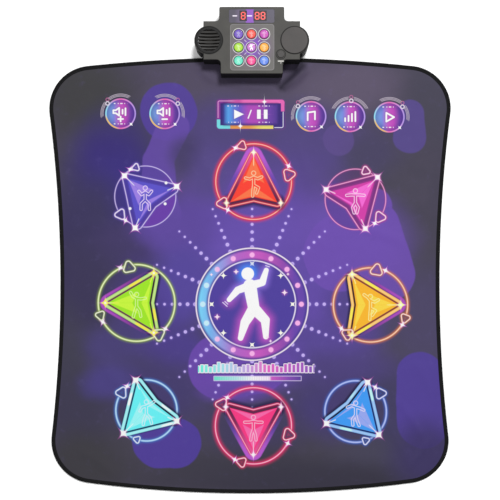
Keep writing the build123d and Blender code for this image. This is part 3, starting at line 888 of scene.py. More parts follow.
def motion_arcs(q):
    """Two short lines beyond each hand."""
    lines = []
    leaning = q.about(DANCER_SHIFT, DANCER_LEAN)
    for elbow, hand in ((DANCER[1][1], DANCER[1][2]), (DANCER[2][1], DANCER[2][2])):
        out = (np.array(hand) - elbow) / np.linalg.norm(np.array(hand) - elbow)
        side = np.array([-out[1], out[0]])
        for away, half in ((8.5, 4.0), (13.0, 6.0)):
            middle_place = np.array(hand) * DANCER_SCALE + out * away
            lines.append(leaning.to_segment(middle_place - side * half, middle_place + side * half))
    return nearest_of(lines)


MEDALLION_SPARKLES = (((-33, 67), 5.0), ((67, 24), 5.5), ((-72, -26), 5.5), ((31, -68), 4.0),
                      ((74, 62), 3.0), ((-84, 61), 3.0), ((38, -76), 3.0))


DISC_RADIUS, HOLE_RADIUS = 115.5, 89.8
MEDALLION_BAND = ((0.02, "#7EDCFF"), (0.13, "#7CB8F4"), (0.24, "#9C9CE6"), (0.36, "#B868CC"),
                  (0.56, "#CC5CC4"), (0.75, "#A050B4"), (0.88, "#6E48B0"), (1.0, "#6548AE"))
INNER_STARS, STAR_RADIUS = 8, 83.5  # the stars in the folded circle, and how far out they sit


def medallion(art, place):
    """The middle pad: a beaded ring with stars, and a dancing figure inside it."""
    q = place.about(MEDALLION)
    radius = q.to((0, 0))
    art.lay("#5A48AA", inside(radius - DISC_RADIUS))
    art.lay("#5040A0", inside(radius - HOLE_RADIUS) * 0.9)
    share = q.x.share_of(DISC_RADIUS)
    middle_radius = (DISC_RADIUS + HOLE_RADIUS) / 2
    art.lay("#3A2E86", inside(abs(radius - middle_radius) - 12.0, 3.0) * 0.55)
    art.lay(share.ramp(*MEDALLION_BAND), inside(abs(radius - middle_radius + 0.5) - 8.5, 6.0))
    _, folded = polar(q, RAY_COUNT)
    dot = folded.to((middle_radius - 1.0, 0))
    art.light("#FF90E8", glow(dot, 11.0) * 0.35)
    bead = inside(dot - 5.2, 1.6)
    art.lay("#FFB8F0", bead)
    art.lay("#C8F4FF", bead * share.over(0.22, 0.10))
    art.neon(radius - DISC_RADIUS, "#FFFFFF", "#F0D8F0", "#3C3090", 2.7, 4.5, 0.5)
    art.neon(radius - HOLE_RADIUS, "#FFFFFF", "#E4D0F8", "#3C3090", 2.5, 4.5, 0.5)
    stars = polar(q, INNER_STARS)[1].about((STAR_RADIUS, 0), 45)
    art.lay("#FFFFF0", inside(star(stars, 8.5)))
    body, head = dancer_shape(q)
    art.lay("#4A8CFF", glow(head, 24.0) * 0.95)
    lower = q.y.over(30.0, -10.0)
    art.lay("#C058C8", glow(body, 22.0) * lower * 0.95)
    art.lay("#9878E8", glow(body, 16.0) * q.y.over(-10.0, 30.0) * 0.8)
    art.lay("#FFFFFF", inside(body.low(head)))
    art.lay("#E8DCFF", line(motion_arcs(q), 1.8))
    for centre, size in MEDALLION_SPARKLES:
        spark = q.about(centre)
        art.light("#FF70D8", glow(spark.to((0, 0)), size * 1.7) * 0.7)
        art.lay("#FFE8F8", inside(star(spark, size * 1.5)))


# ============================================================ the mat's print: arrow pads
ARROWS = {
    # turn of the point, ring's radius, dart's point, wing corner and notch; then the print's style,
    # the small arrowheads on the ring as (direction, size, turn), the side of each that its spark
    # is on, how many have one, and where the band shines or the beads sit
    "pad_up": dict(turn=90, ring=78, tip=53, wing=(-42.5, 48.5), notch=-31.5, style="neon",
                   fill="#FF4434", facet="#FF7C4C", pale="#FFCCC0", halo="#DC3454", tube="#F4545C",
                   figure="#FFD0A8", star="#FFFBC8",
                   heads=((108, 11.2, 90), (11, 14.8, 0), (-145, 14.2, 90)), side=1, sparked=3, marks=()),
    "pad_down": dict(turn=270, ring=78.5, tip=52, wing=(-37.5, 49.5), notch=-24.5, style="neon",
                     fill="#FF3C88", facet="#FF70B4", pale="#FFD0E4", halo="#D43068", tube="#F84C88",
                     figure="#FFC0DC", star="#FFE8F8",
                     heads=((146, 14.8, 30), (-14, 14.8, 0), (-108, 12, 30)), side=-1, sparked=3, marks=()),
    "pad_left": dict(turn=180, ring=79, tip=56, wing=(-34, 53), notch=-24.5, style="band",
                     fill="#A4EC28", facet="#D2FF42", pale="#F8FFD8", halo="#7C8C50", tube="#CCE48C",
                     band="#BCE874", shine="#FFEE50", dark="#6C3850", winged=True,
                     figure="#E0FFA0", star="#FFF860",
                     heads=((102, 14.8, 0), (-161, 11.4, 90), (-55, 15, 90)), side=1, sparked=3,
                     marks=(((-10, 37), (3, 46)), ((2, -46), (19, -56)), ((36, -18), (41, -30)))),
    "pad_right": dict(turn=0, ring=76.5, tip=54, wing=(-36.5, 54.5), notch=-28, style="band",
                      fill="#FFBC30", facet="#FFE04C", pale="#FFE4CC", halo="#C06C4C", tube="#F8A478",
                      band="#FFC860", shine="#FFF458", dark="#8C3C38", winged=True,
                      figure="#FFF4A0", star="#FFFFB0",
                      heads=((80, 15, 0), (-21, 11.6, 30), (-128, 14, 40)), side=-1, sparked=3,
                      marks=(((-6, 46), (11, 36)), ((-21, -56), (-4, -47)), ((-42, -24), (-38, -12)))),
    "pad_up_left": dict(turn=135, ring=63, tip=52, wing=(-29.5, 52), notch=-20.5, style="thin",
                        fill="#5E54CC", facet="#A486EA", pale="#E8DCFF", halo="#6A54B8", tube="#C8B4F0",
                        shade="#46389C", tint="#7A3EB4", figure="#F0DCFF", star="#FFFFFF",
                        heads=((108, 9.2, 90), (-144, 13.2, 90)), side=1, sparked=2,
                        marks=((43, 28), (-31, -25), (41, -15))),
    "pad_up_right": dict(turn=45, ring=62.5, tip=56, wing=(-27, 48.5), notch=-16.5, style="thin",
                         fill="#D840AC", facet="#FC70DC", pale="#FFC4E8", halo="#B83C90", tube="#F08CCC",
                         shade="#6C2C78", tint="#5A48A8", figure="#FFD4F4", star="#FFE8F8",
                         heads=((-36, 13.6, 30), (70, 10.5, 30)), side=-1, sparked=1, marks=()),
    "pad_down_left": dict(turn=225, ring=63, tip=58.5, wing=(-27, 51.5), notch=-20, style="band",
                          fill="#6CF8FC", facet="#A4FFFF", pale="#C4ECFF", halo="#4070C0", tube="#A4CCFC",
                          band="#9CF6FA", shine="#FFFFFF", dark="#0C4468", winged=False,
                          figure="#E0F4FF", star="#FFFFFF",
                          heads=((144, 13.8, 38), (-108, 8.6, 30)), side=-1, sparked=1,
                          marks=(((-34, 16), (-30, 30)), ((38, 11), (49, 5)), ((37, -35), (50, -31)))),
    "pad_down_right": dict(turn=315, ring=63.5, tip=59, wing=(-23.5, 51.5), notch=-16.5, style="band",
                           fill="#42A0FC", facet="#A4B0F8", pale="#C4D0FF", halo="#3C60BC", tube="#A0B4FC",
                           band="#90C4FC", shine="#C8FFF8", dark="#0C2C74", winged=False,
                           figure="#E8E4FF", star="#FFFFFF",
                           heads=((36, 13.6, 87), (-71, 9.2, 90)), side=1, sparked=1,
                           marks=(((-12, 34), (-8, 42)), ((30, 40), (33, 29)), ((-27, -37), (-14, -40)))),
}

FIGURES = {
    # each arm's and each leg's directions, upper part first
    "pad_up": posed(arms=((205, 165), (-20, 25)), legs=((262, 268), (330, 250))),
    "pad_down": posed(arms=((190, 180), (-10, 0)), legs=((250, 262), (290, 278))),
    "pad_left": posed(arms=((150, 120), (-5, 10)), legs=((250, 255), (305, 280))),
    "pad_right": posed(arms=((130, 145), (-20, 30)), legs=((265, 268), (335, 235))),
    "pad_up_left": posed(arms=((215, 130), (-35, 50)), legs=((225, 268), (315, 272))),
    "pad_up_right": posed(arms=((180, 185), (0, -5)), legs=((240, 285), (300, 255))),
    "pad_down_left": posed(arms=((195, 240), (25, 35)), legs=((248, 258), (312, 285))),
    "pad_down_right": posed(arms=((160, 200), (-15, -25)), legs=((235, 275), (285, 292))),
}


def figure_outline(place, name):
    """The distance to a small figure's outline."""
    limbs = nearest_of(place.stroke(*joints) for joints in FIGURES[name])
    return (limbs - 2.4).low(place.to(HEAD_PLACE) - HEAD_RADIUS)


def dart(q, look):
    """Distances about a dart that points along x: to its outline, its long sides and its notch."""
    folded = q.mirrored()
    tip, wing, notch = (look["tip"], 0.0), look["wing"], (look["notch"], 0.0)
    long_side = folded.beyond(tip, wing, (0, 0))
    short_side = folded.beyond(wing, notch, tip)
    to_long, to_short = folded.to_segment(tip, wing), folded.to_segment(wing, notch)
    depth = long_side.high(short_side)
    outline = to_long.low(to_short) * depth.math("GREATER_THAN", 0.0) + depth.low(0.0)
    return folded, outline, to_long, to_short


def convex(place, corners):
    """How far outside a convex shape a place is, negative inside."""
    middle_place = np.mean(np.array(corners, float), axis=0)
    sides = zip(corners, corners[1:] + corners[:1])
    found, *others = (place.beyond(a, b, middle_place) for a, b in sides)
    for gap in others:
        found = found.high(gap)
    return found


def star_points(look):
    """Where an arrow pad's three stars are, seen along its dart."""
    tip, (wing_u, wing_v) = look["tip"], look["wing"]
    reach = 7.5 if look["style"] == "neon" else 8.5
    return ((tip + reach, 0.0), (wing_u - 1.5, wing_v + reach), (wing_u - 1.5, -wing_v - reach))


HEAD_CORNERS, HEAD_ROUNDING = 0.52, 0.36  # a small arrowhead's corners and their rounding, by its size
HEAD_SET_IN = 4.0                         # how far inside the ring the unturned arrowheads sit
SPARK_GAP = 3.0


def arrowhead(q, ring, direction, size, turn):
    """The distance to one small rounded arrowhead on a ring."""
    centre = at_angle(ring if turn else ring - HEAD_SET_IN, direction)
    turns = (direction + turn + third for third in (0, 120, 240))
    corners = [tuple(centre + at_angle(size * HEAD_CORNERS, angle)) for angle in turns]
    return (q.stroke(*corners, close=True) - size * HEAD_ROUNDING).low(convex(q, corners))


RING_STYLES = {
    # a ring's width, its halo's reach and the halo's strength
    "neon": (3.5, 9.0, 0.95), "band": (3.4, 6.5, 0.9), "thin": (1.4, 4.0, 0.4),
}


def ring_heads(art, q, look, heads):
    """The small arrowheads on the ring, and the sparks beside them."""
    art.lay(look["halo"], glow(abs(heads) - 1.0, 6.0) * 0.85)
    art.lay(look["tube"], line(heads, 2.6, 1.8))
    art.lay("#FFF8FA", line(heads, 1.5, 1.3) * 0.9)
    for direction, size, _ in look["heads"][:look["sparked"]]:
        aside = math.degrees((size + SPARK_GAP) / look["ring"]) * look["side"]
        spark = q.about(at_angle(look["ring"] + 1.0, direction + aside), 65.0)
        art.light("#E060E8", inside(star(spark, 13.0), 4.0) * 0.5)
        art.lay("#FFFFFF", inside(star(spark, 8.0)))


def corner_stars(art, local, look):
    """A star beyond the dart's point and beyond each wing."""
    slim = 0.55 if look["style"] == "neon" else 1.0
    core_radius = 3.6 if look["style"] == "thin" else 2.2
    for spot in star_points(look):
        spark = local.about(spot)
        core = spark.to((0, 0))
        art.light("#E050D0", inside(star(spark, 20.0, slim), 5.0) * 0.35)
        art.lay(look["star"], glow(core, 8.0) * 0.9)
        art.lay(look["star"], inside(star(spark, 13.0, slim)))
        art.lay("#FFFFFF", inside(core - core_radius, 2.0) * 0.9)


# how far outside the dart its outlines run, and how far its side glow reaches
NEON_OUT, THIN_OUT, BAND_OUT, BAND_MIDDLE, DARK_GAP, SIDE_GLOW = 8.3, 10.0, 11.4, 8.4, 3.4, 18.5
BEAD_RADIUS = 2.9


def neon_bed(art, look, outline, to_short, toward_tip):
    """The gap between a dart and its neon tube, dark by the notch and bright at the point."""
    art.lay("#241848", inside(to_short - 16.5, 7.0) * 0.85)
    gap_colour = toward_tip.ramp((0.0, "#5C2044"), (0.35, "#702C5C"), (0.7, "#C8488C"), (1.0, "#F05CA0"))
    art.lay(gap_colour, inside(outline - NEON_OUT))
    art.lay(look["fill"], glow(outline, 5.0) * toward_tip.over(0.0, 0.6) * 0.6)


def band_bed(art, q, look, outline, to_long, to_short):
    """A shining band round a dart, with a dark gap inside it."""
    art.lay("#14102C", inside(to_short - 15.5, 5.0) * 0.9)
    art.lay("#2C2060", inside(outline - 13.5, 3.0) * 0.6)
    art.lay(look["band"], inside(outline - BAND_OUT))
    art.light("#FFFFFF", inside(abs(outline - BAND_MIDDLE) - 0.8, 2.5) * 0.25)
    for a, b in look["marks"]:
        shine = glow(q.to_segment(a, b) - 2.0, 9.0)
        art.lay(look["shine"], (shine * 1.8).clamped() * inside(abs(outline - 8.2) - 2.4, 2.0))
    gap = inside(abs(outline - DARK_GAP) - 1.9)
    art.lay(look["dark"], gap)
    art.lay("#0A0820", gap * inside(to_short - to_long, 6.0) * 0.8)
    art.lay(look["fill"], inside(outline - 1.5))


def thin_bed(art, look, outline):
    """The shade between a dart and its thin outline."""
    art.lay(look["shade"], inside(outline - 9.5) * 0.85)
    art.lay(look["fill"], glow(outline, 9.0) * 0.4)


def dart_facets(folded, look):
    """The distance to a dart's four lighter facets."""
    tip, (wing_u, wing_v), notch = look["tip"], look["wing"], look["notch"]
    upper = [(tip - 3.0, 0.0), (-3.0, 22.0), (9.0, 0.0)]
    lower = [(wing_u + 2.5, wing_v - 4.0), (-10.0, 0.0), (notch + 2.0, 0.0)]
    return convex(folded, upper).low(convex(folded, lower))


def arrow_pad(name):
    """The print of one arrow pad: its ring, its dart, its small arrowheads, stars and figure."""
    look = ARROWS[name]

    def paint(art, place):
        centre = middle(name)
        q = place.about(centre)
        local = q.about((0, 0), look["turn"])
        folded, outline, to_long, to_short = dart(local, look)
        style, tip = look["style"], look["tip"]
        wing_u, wing_v = look["wing"]
        ring = q.to((0, 0)) - look["ring"]
        toward_tip = ((local.x - wing_u) / (tip - wing_u)).clamped()
        if style == "thin":
            art.lay(look["tint"], inside(ring, 2.0) * toward_tip.over(0.5, 0.0) * 0.75)
            art.lay(look["shade"], inside(ring, 2.0) * 0.25)
        heads = nearest_of(arrowhead(q, look["ring"], *head) for head in look["heads"])
        width, reach, strength = RING_STYLES[style]
        art.neon(ring, look["pale"], look["tube"], look["halo"], width, reach, strength, heads.over(0.0, 1.5))
        if style == "neon" or look.get("winged"):
            fade = toward_tip.over(0.08, 0.65)
            side_colour, tip_colour = ("#7048B8", "#C860D8") if style == "neon" else ("#9840A4", "#B450C8")
            art.lay(side_colour, inside(to_long - SIDE_GLOW, 2.5) * fade * 0.8)
            art.lay(tip_colour, inside(to_long - SIDE_GLOW, 2.5) * toward_tip.over(0.45, 1.0) * 0.85)
        if style == "neon":
            neon_bed(art, look, outline, to_short, toward_tip)
        elif style == "band":
            band_bed(art, q, look, outline, to_long, to_short)
        else:
            thin_bed(art, look, outline)
        art.lay(look["fill"], inside(outline))
        art.lay(look["facet"], inside(dart_facets(folded, look), 1.6) * 0.9)
        if style == "neon":
            art.neon(outline - NEON_OUT, look["pale"], look["tube"], look["halo"], 2.6, 3.5, 0.85)
        elif style == "thin":
            art.neon(outline - THIN_OUT, look["pale"], look["tube"], look["halo"], 1.7, 5.0, 0.6)
            for bead in look["marks"]:
                art.lay("#FFFFFF", inside(q.to(bead) - BEAD_RADIUS, 1.6))
        art.lay(look["star"], line(local.y, 1.6) * inside(abs(local.x - tip + 8.0) - 12.0, 4.0) * 0.7)
        if style != "neon":
            wing_line = folded.to_segment((wing_u, wing_v + 5.0), (wing_u + 6.0, wing_v - 10.0))
            art.lay(look["star"], line(wing_line, 1.8) * 0.8)
        ring_heads(art, q, look, heads)
        corner_stars(art, local, look)
        art.lay(look["figure"], line(figure_outline(q, name), 1.7) * 0.95)

    return paint


# ============================================================ the mat's print: control pads
SPEAKER = (((-15, 1), (-15, 7)), ((-15, 7), (-10, 7)), ((-10, 7), (-3, 12)), ((-3, 12), (-3, -4)),
           ((-3, -4), (-10, 1)), ((-10, 1), (-15, 1)), ((4, 0), (4, 8)), ((10, -3), (10, 11)))
RINGS = {
    # which way the outer arcs lean, and the icon's strokes
    "pad_volume_up": (126.0, (*SPEAKER, ((-5, -11), (5, -11)), ((0, -16), (0, -6)))),
    "pad_volume_down": (54.0, (*SPEAKER, ((-5, -11), (5, -11)))),
    "pad_mode": (126.0, (((-7, -8), (-7, 8)), ((-7, 8), (8, 10)), ((8, 10), (8, -6)))),
    "pad_difficulty": (90.0, (((-10, -9), (-10, -3)), ((-3, -9), (-3, 2)), ((4, -9), (4, 6)),
                              ((11, -9), (11, 10)))),
    "pad_demo": (54.0, (((-6, -9), (-6, 9)), ((-6, 9), (10, 0)), ((10, 0), (-6, -9)))),
}
CONTROL_GRADIENT = ((0.05, "#7CB8F0"), (0.26, "#7C8CE0"), (0.48, "#C858C4"), (0.64, "#C04CBC"),
                    (0.84, "#7444A8"), (1.0, "#5A3A98"))
CONTROL_RIM = ((0.0, "#98E4F8"), (0.25, "#D898D8"), (0.5, "#F070B8"), (0.8, "#D898E0"), (1.0, "#B89CEC"))
CONTROL_RING, BADGE_RADIUS, ARC_RADIUS = 30.2, 37.0, 38.4
BADGE_DIRECTIONS = {126.0: 137.0, 54.0: 43.0, 90.0: 86.0}  # the small badge's direction, by the arcs' lean


def dashes(art, q, height, half, colour="#FFFFFF"):
    """A row of small printed marks of different lengths."""
    ripple = (q.x * 0.9).math("SINE") + (q.x * 0.37 + 1.0).math("SINE")
    marks = inside(abs(q.y - height) - 1.0, 1.0) * inside(abs(q.x) - half, 1.0)
    art.lay(colour, marks * ripple.over(-0.3, 0.2) * 0.9)


def control_pad(name):
    """The print of one round control pad: a filled ring with an icon, and arcs outside it."""
    lean, icon = RINGS[name]

    def paint(art, place):
        q = place.about(middle(name))
        radius = q.to((0, 0))
        from_ring = radius - CONTROL_RING
        art.lay("#3C2C78", glow(from_ring, 6.0) * 0.6)
        art.lay(q.x.share_of(CONTROL_RING).ramp(*CONTROL_GRADIENT), inside(from_ring))
        art.lay("#43288A", radius.over(15.0, CONTROL_RING) * inside(from_ring) * 0.6)
        around = q.about((0, 0), 225.0)
        art.lay(q.x.share_of(CONTROL_RING).ramp(*CONTROL_RIM), line(from_ring, 2.8))
        art.lay("#F0C068", line(from_ring, 2.8) * around.x.over(22.0, 29.0))
        art.lay("#FFFFFF", inside(star(q.about((21.6, -21.6), 45.0), 6.0)))
        badge_place = at_angle(BADGE_RADIUS, BADGE_DIRECTIONS[lean])
        arc = q.about((0, 0), lean).x.over(15.5, 18.5) * q.to(badge_place).over(5.0, 7.0)
        from_arc = abs(radius - ARC_RADIUS)
        arcs = from_arc.low(abs(from_arc - 2.35))
        art.lay("#C4B8C8", inside(arcs - 0.55, 0.7) * arc)
        badge = q.about(badge_place)
        art.lay("#D070A8", line(badge.to((0, 4)) - 3.2, 1.3) * 0.85)
        art.lay("#E4DCEC", line(badge.to((0, -4)) - 3.6, 2.0))
        for height in (21.0, -21.0):
            dashes(art, q, height, 14.0)
        mark = nearest_of(q.to_segment(a, b) for a, b in icon)
        art.lay("#4A2C80", glow(mark - 1.0, 4.5) * 0.5)
        art.lay("#FFFFFF", line(mark, 3.4))

    return paint


START_HALF, START_PANEL_HALF = (69.7, 30.0), (57.0, 20.5)
START_PANEL = ((0.1, "#3C4CA4"), (0.17, "#58A4EC"), (0.24, "#5C84DC"), (0.34, "#6C58C8"),
               (0.47, "#B04CBC"), (0.6, "#B44CBC"), (0.76, "#7444AC"), (0.92, "#4C3890"))
START_RIM = (
    # colour, then where the stretch fades in or out along y and along x, as shares of the pad
    ("#8C3898", (0.2, 0.4), (0.16, 0.04)),
    ("#D058A8", (0.82, 0.88), (0.04, 0.3)),
    ("#F070BC", (0.82, 0.88), (0.32, 0.42)),
    ("#E868B8", (0.58, 0.62), (0.92, 0.95)),
    ("#78DCE4", (0.33, 0.31), (0.21, 0.19)),
    ("#E89C50", (0.14, 0.12), (0.19, 0.21), (0.84, 0.83)),
    ("#ECE070", (0.14, 0.12), (0.45, 0.7), (0.84, 0.83)),
)


def start_pad(art, place):
    """A pad with a play sign, a pause sign and a stroke between them."""
    q = place.about(middle("pad_start"))
    outer = q.in_box(START_HALF, 6.0)
    share_x, share_y = q.x.share_of(START_HALF[0]), q.y.share_of(START_HALF[1])
    art.lay("#7C3890", glow(outer, 5.0) * 0.5)
    art.lay("#3E2C80", inside(outer))
    band = line(outer + 3.6, 7.0)
    for colour, along_y, *along_x in START_RIM:
        cover = band * share_y.over(*along_y)
        for ends in along_x:
            cover = cover * share_x.over(*ends)
        art.lay(colour, cover)
    thin = line(outer + 2.6, 1.5)
    art.lay("#E4A0D8", thin * share_x.over(0.3, 0.2) * share_y.over(0.36, 0.38))
    art.lay("#E8E4F8", thin * share_x.over(0.84, 0.86) * share_y.over(0.6, 0.58))
    inner = q.in_box(START_PANEL_HALF, 3.0)
    art.lay("#35246C", inside(inner - 3.0, 5.0) * 0.7)
    art.lay(share_x.ramp(*START_PANEL), inside(inner, 5.0))
    art.lay("#3C2878", inside(abs(inner + 1.0) - 1.5, 5.0) * 0.45)
    for shift, height, length in ((-34, 17.0, 14.0), (30, 17.0, 14.0), (-34, -16.5, 12.0), (30, -16.5, 14.0)):
        dashes(art, q.about((shift, 0)), height, length, "#F4E8FF")
    play = [(-34.0, 9.5), (-34.0, -9.5), (-14.0, 0.0)]
    bars = nearest_of(q.about((shift, 0.0)).in_box((3.8, 9.5), 1.0) for shift in (17.0, 31.0))
    signs = convex(q, play).low(bars)
    divider = q.to_segment((1.0, 8.0), (-5.0, -8.0)) - 1.2
    art.lay("#6C3C9C", glow(signs, 4.0) * 0.5)
    art.lay("#FFFFFF", inside(signs.low(divider)))
    for spot in ((28.3, 25.7), (-21.2, -24.2)):
        spark = q.about(spot)
        art.light("#FFC0E8", glow(spark.to((0, 0)), 6.0) * 0.6)
        art.light("#F090D8", inside(star(q.about((spot[0], 0.0)), 24.0, 0.08), 1.2) * 0.25)
        art.lay("#FFFFFF", inside(star(spark, 7.0)))
        art.light("#FFFFFF", inside(star(joined(spark.y, spark.x), 19.0, 0.1), 1.2) * 0.8)


# ============================================================ the mat's print: the row under the medallion
LEGEND_BARS = ((13.0, -234.9), 120.0, 11.0, 8.6)   # middle, half length, half height, pitch
LEGEND_METER = ((15.5, -258.5), 90.0, 4.6)


def legend(art, place):
    """A row of sound-level bars, and a level meter below it."""
    centre, half, tall, pitch = LEGEND_BARS
    q = place.about(centre)
    step = (q.x / pitch).math("ROUND")
    level = ((step * 1.9).math("SINE") + (step * 0.73 + 0.8).math("SINE")) * 0.25 + 0.5
    local_x = q.x - step * pitch
    over_x = abs(local_x) - 2.5
    over_y = abs(q.y + (level * -0.5 + 0.5) * (tall * 1.15)) - (level * 0.55 + 0.42) * tall
    outer = joined(over_x.high(0.0), over_y.high(0.0)).to((0, 0)) + over_x.high(over_y).low(0.0) - 0.8
    within = inside(abs(q.x) - half, 1.0)
    share = q.x.share_of(half)
    colours = share.ramp((0.0, "#6CF4E0"), (0.2, "#A8E8F0"), (0.42, "#C8A8E8"), (0.6, "#E868C8"),
                         (0.8, "#C060C8"), (1.0, "#8858C0"))
    art.lay("#382878", inside(outer - 3.2, 2.0) * within * 0.6)
    art.lay("#FFF4FF", inside(outer - 1.1) * within)
    art.lay(colours, inside(outer + 0.4, 1.0) * within)
    centre, half, tall = LEGEND_METER
    q = place.about(centre)
    box = q.in_box((half, tall), 0.5)
    share = q.x.share_of(half)
    meter = share.ramp((0.0, "#68F0D0"), (0.25, "#B8F0F0"), (0.45, "#FFFFFF"), (0.63, "#FFF0FF"),
                       (0.66, "#D060C8"), (0.85, "#8C50B8"), (1.0, "#5C44A0"))
    art.lay("#E8D8FF", line(box, 1.6) * 0.85)
    art.lay(meter, inside(box + 0.6))
    ticks = (q.x * (2 * math.pi / 3.6)).math("SINE").over(0.5, 0.9) * share.over(0.65, 0.63)
    art.lay("#A088C8", inside(box + 0.6) * ticks * 0.45)


# ============================================================ fabric materials
ground = ground_group()


def mat_fabric(name, paint=None):
    """The printed top fabric: the ground's colour with its painted light and shade, dotted rays, one area's
    own print, and painted shade in the weave's hollows.
    """
    material, tree, shader = new_material(name, Specular_IOR_Level=0.12)
    group = tree.nodes.new("ShaderNodeGroup")
    group.node_tree = ground
    place = surface_place(tree)
    art = Print(tree, group.outputs[0])
    rays(art, place)
    if paint is not None:
        paint(art, place)
    threads = weave(place, fabric_pitch)
    # painted shade in the weave's hollows
    art.lay("#000000", threads.over(0.35, 0.0) * 0.06)
    art.lay("#DADADA", 1.0, "MULTIPLY")
    fibre = noise(tree, place, 0.9, detail=4.0)
    soft_wrinkle = noise(tree, place, 0.035, detail=3.0)
    height = threads * 0.08 + fibre * 0.10 + soft_wrinkle * 0.9
    finish_surface(tree, shader, art.colour, fibre * 0.14 + 0.58, height, 0.0012, 0.55)
    return material


def spun_fabric(name, colour, dark, pitch, roughness=0.8, dot_pitch=None):
    """A plain woven or spun cloth, for the edge tape and the underside, there with anti-slip dots."""
    material, tree, shader = new_material(name, Sheen_Weight=0.04, Specular_IOR_Level=0.1)
    place = surface_place(tree, flat=False)
    threads = weave(place, pitch)
    fibre = noise(tree, place, 0.6, detail=5.0, roughness=0.6)
    art = Print(tree, fibre.ramp((0.3, dark), (0.7, colour)))
    # painted shade in the weave's hollows
    art.lay(dark, threads.over(0.4, 0.0) * 0.35)
    height = threads * 0.6 + fibre * 0.5
    if dot_pitch is not None:
        x, y = ((v / dot_pitch - (v / dot_pitch).math("ROUND")) * dot_pitch for v in (place.x, place.y))
        dot = inside(joined(x, y).to((0, 0)) - 0.22 * dot_pitch, 0.6)
        art.lay("#4A4A4E", dot)
        height = height + dot * 1.5
    finish_surface(tree, shader, art.colour, fibre * 0.2 + (roughness - 0.1), height, 0.0004, 0.7)
    return material


# ============================================================ plastics and metals
def moulded(name, colour, dark, roughness=0.5, grain=1.6, depth=0.00012, paint=None, **constants):
    """Moulded plastic with a fine spark-eroded grain, slight mottling and softly worn patches."""
    settings = {"Specular_IOR_Level": 0.14, **constants}
    material, tree, shader = new_material(name, **settings)
    place = surface_place(tree, flat=False)
    grains = noise(tree, place, grain, detail=4.0, roughness=0.6)
    cloud = noise(tree, place, 0.03, detail=3.0)
    art = Print(tree, cloud.ramp((0.3, dark), (0.7, colour)))
    art.lay(dark, grains.over(0.62, 0.8) * 0.35)
    if paint is not None:
        paint(art, surface_place(tree))
    uneven = grains * 0.16 + cloud * 0.1 + (roughness - 0.13)
    finish_surface(tree, shader, art.colour, uneven, grains, depth, 0.6)
    return material


def brushed(name, colour, dark, roughness=0.3):
    """Metal with fine drawn lines."""
    material, tree, shader = new_material(name, metallic=1.0)
    place = surface_place(tree, flat=False)
    lines = noise(tree, place.mapped("MULTIPLY", (0.2, 3.0, 1.0)), 1.5, detail=4.0)
    tones = lines.ramp((0.3, dark), (0.7, colour))
    finish_surface(tree, shader, tones, lines * 0.2 + (roughness - 0.1), lines, 0.00005, 0.5)
    return material


KEYS = {
    # the nine keys of the pad: the colour of a key's middle, and its deeper rim colour
    "key_up_left": ("#7A5CB8", "#6046A4"), "key_up": ("#E0584A", "#C83830"),
    "key_up_right": ("#BC4AAC", "#9C308E"), "key_left": ("#A4CC3C", "#80B028"),
    "key_centre": ("#C884C4", "#9C58AC"), "key_right": ("#E8A43C", "#D08420"),
    "key_down_left": ("#74D8B8", "#4CC0A8"), "key_down": ("#E04C90", "#C83070"),
    "key_down_right": ("#6C94DC", "#4C70C8"),
}
GLYPH_SHRINK, DANCER_SHRINK = 4.6, 12.0  # how much smaller the keys' figures are than the mat's


def key_paint(name):
    """The print of one of the console's keys, with a painted highlight over its middle and a small painted
    highlight spot.
    """
    centre = middle(name)
    radius = half_size(name)[0]
    rim = KEYS[name][1]

    def paint(art, place):
        q = place.about(centre)
        away = q.to((0, 0)) / radius
        art.lay(rim, away.over(0.55, 1.0))
        # painted highlights: the key's middle lightened, and a small bright spot up and to the left of it
        art.light("#FFFFFF", away.over(0.6, 0.0) * 0.08)
        art.light("#FFFFFF", glow(q.to((-2.5, 3.0)), 4.5) * 0.10)
        if name == "key_centre":
            body, head = dancer_shape(q.scaled(DANCER_SHRINK))
            art.lay("#FFFFFF", inside(body.low(head), 8.0))
        else:
            outline = figure_outline(q.scaled(GLYPH_SHRINK), name.replace("key_", "pad_"))
            art.lay("#FFFFFF", line(outline, 2.2, 2.4) * 0.32)

    return paint


def overlay_paint(art, place):
    """The keypad's printed film: grey with violet rays, and a pale ring round each key."""
    centre = middle("keypad_overlay")
    q = place.about(centre)
    away = q.to((0, 0))
    spread = noise(art.tree, place, 0.06, detail=3.0)
    art.lay("#6C5874", away.over(52.0, 28.0) * 0.5)
    art.lay("#6A3CA0", away.over(40.0, 10.0) * spread.over(0.2, 0.6) * 0.95)
    art.lay("#8850C0", away.over(22.0, 4.0) * 0.5)
    folded = joined(abs(q.x), abs(q.y))
    art.lay("#D8D0E4", line(folded.to_segment((12.0, 11.0), (15.5, 14.5)), 1.0, 0.5) * 0.8)
    for name in KEYS:
        ring = place.to(middle(name)) - 11.4
        art.lay("#403C44", inside(ring - 0.6, 0.8) * 0.75)
        art.lay("#D8D8D4", line(ring, 0.9, 0.5))
    edge = q.in_box(half_size("keypad_overlay"), 6.0)
    art.lay("#8C8890", line(edge + 1.2, 0.7, 0.5) * 0.5)


def display_paint(art, place):
    """The display's printed film: grey-violet with one violet band and small pale marks."""
    q = place.about(middle("display_panel"))
    art.lay("#7C48A8", inside(abs(q.x + 4.0) - 8.0, 1.2))
    art.lay("#6A5A7C", inside(abs(q.x + 22.0) - 9.0, 8.0) * 0.4)
    for centre, half in (((-34.0, 0.4), 4.6), ((-4.5, 0.4), 5.2)):
        spot = q.about(centre)
        art.lay("#E4DCE8", inside(spot.in_box((half, 1.1), 0.6), 0.8) * 0.9)
    for shift in (15.0, 20.0, 27.0):
        art.lay("#C8A0B8", inside(q.about((shift, -9.3)).in_box((1.6, 0.5), 0.2), 0.5) * 0.8)


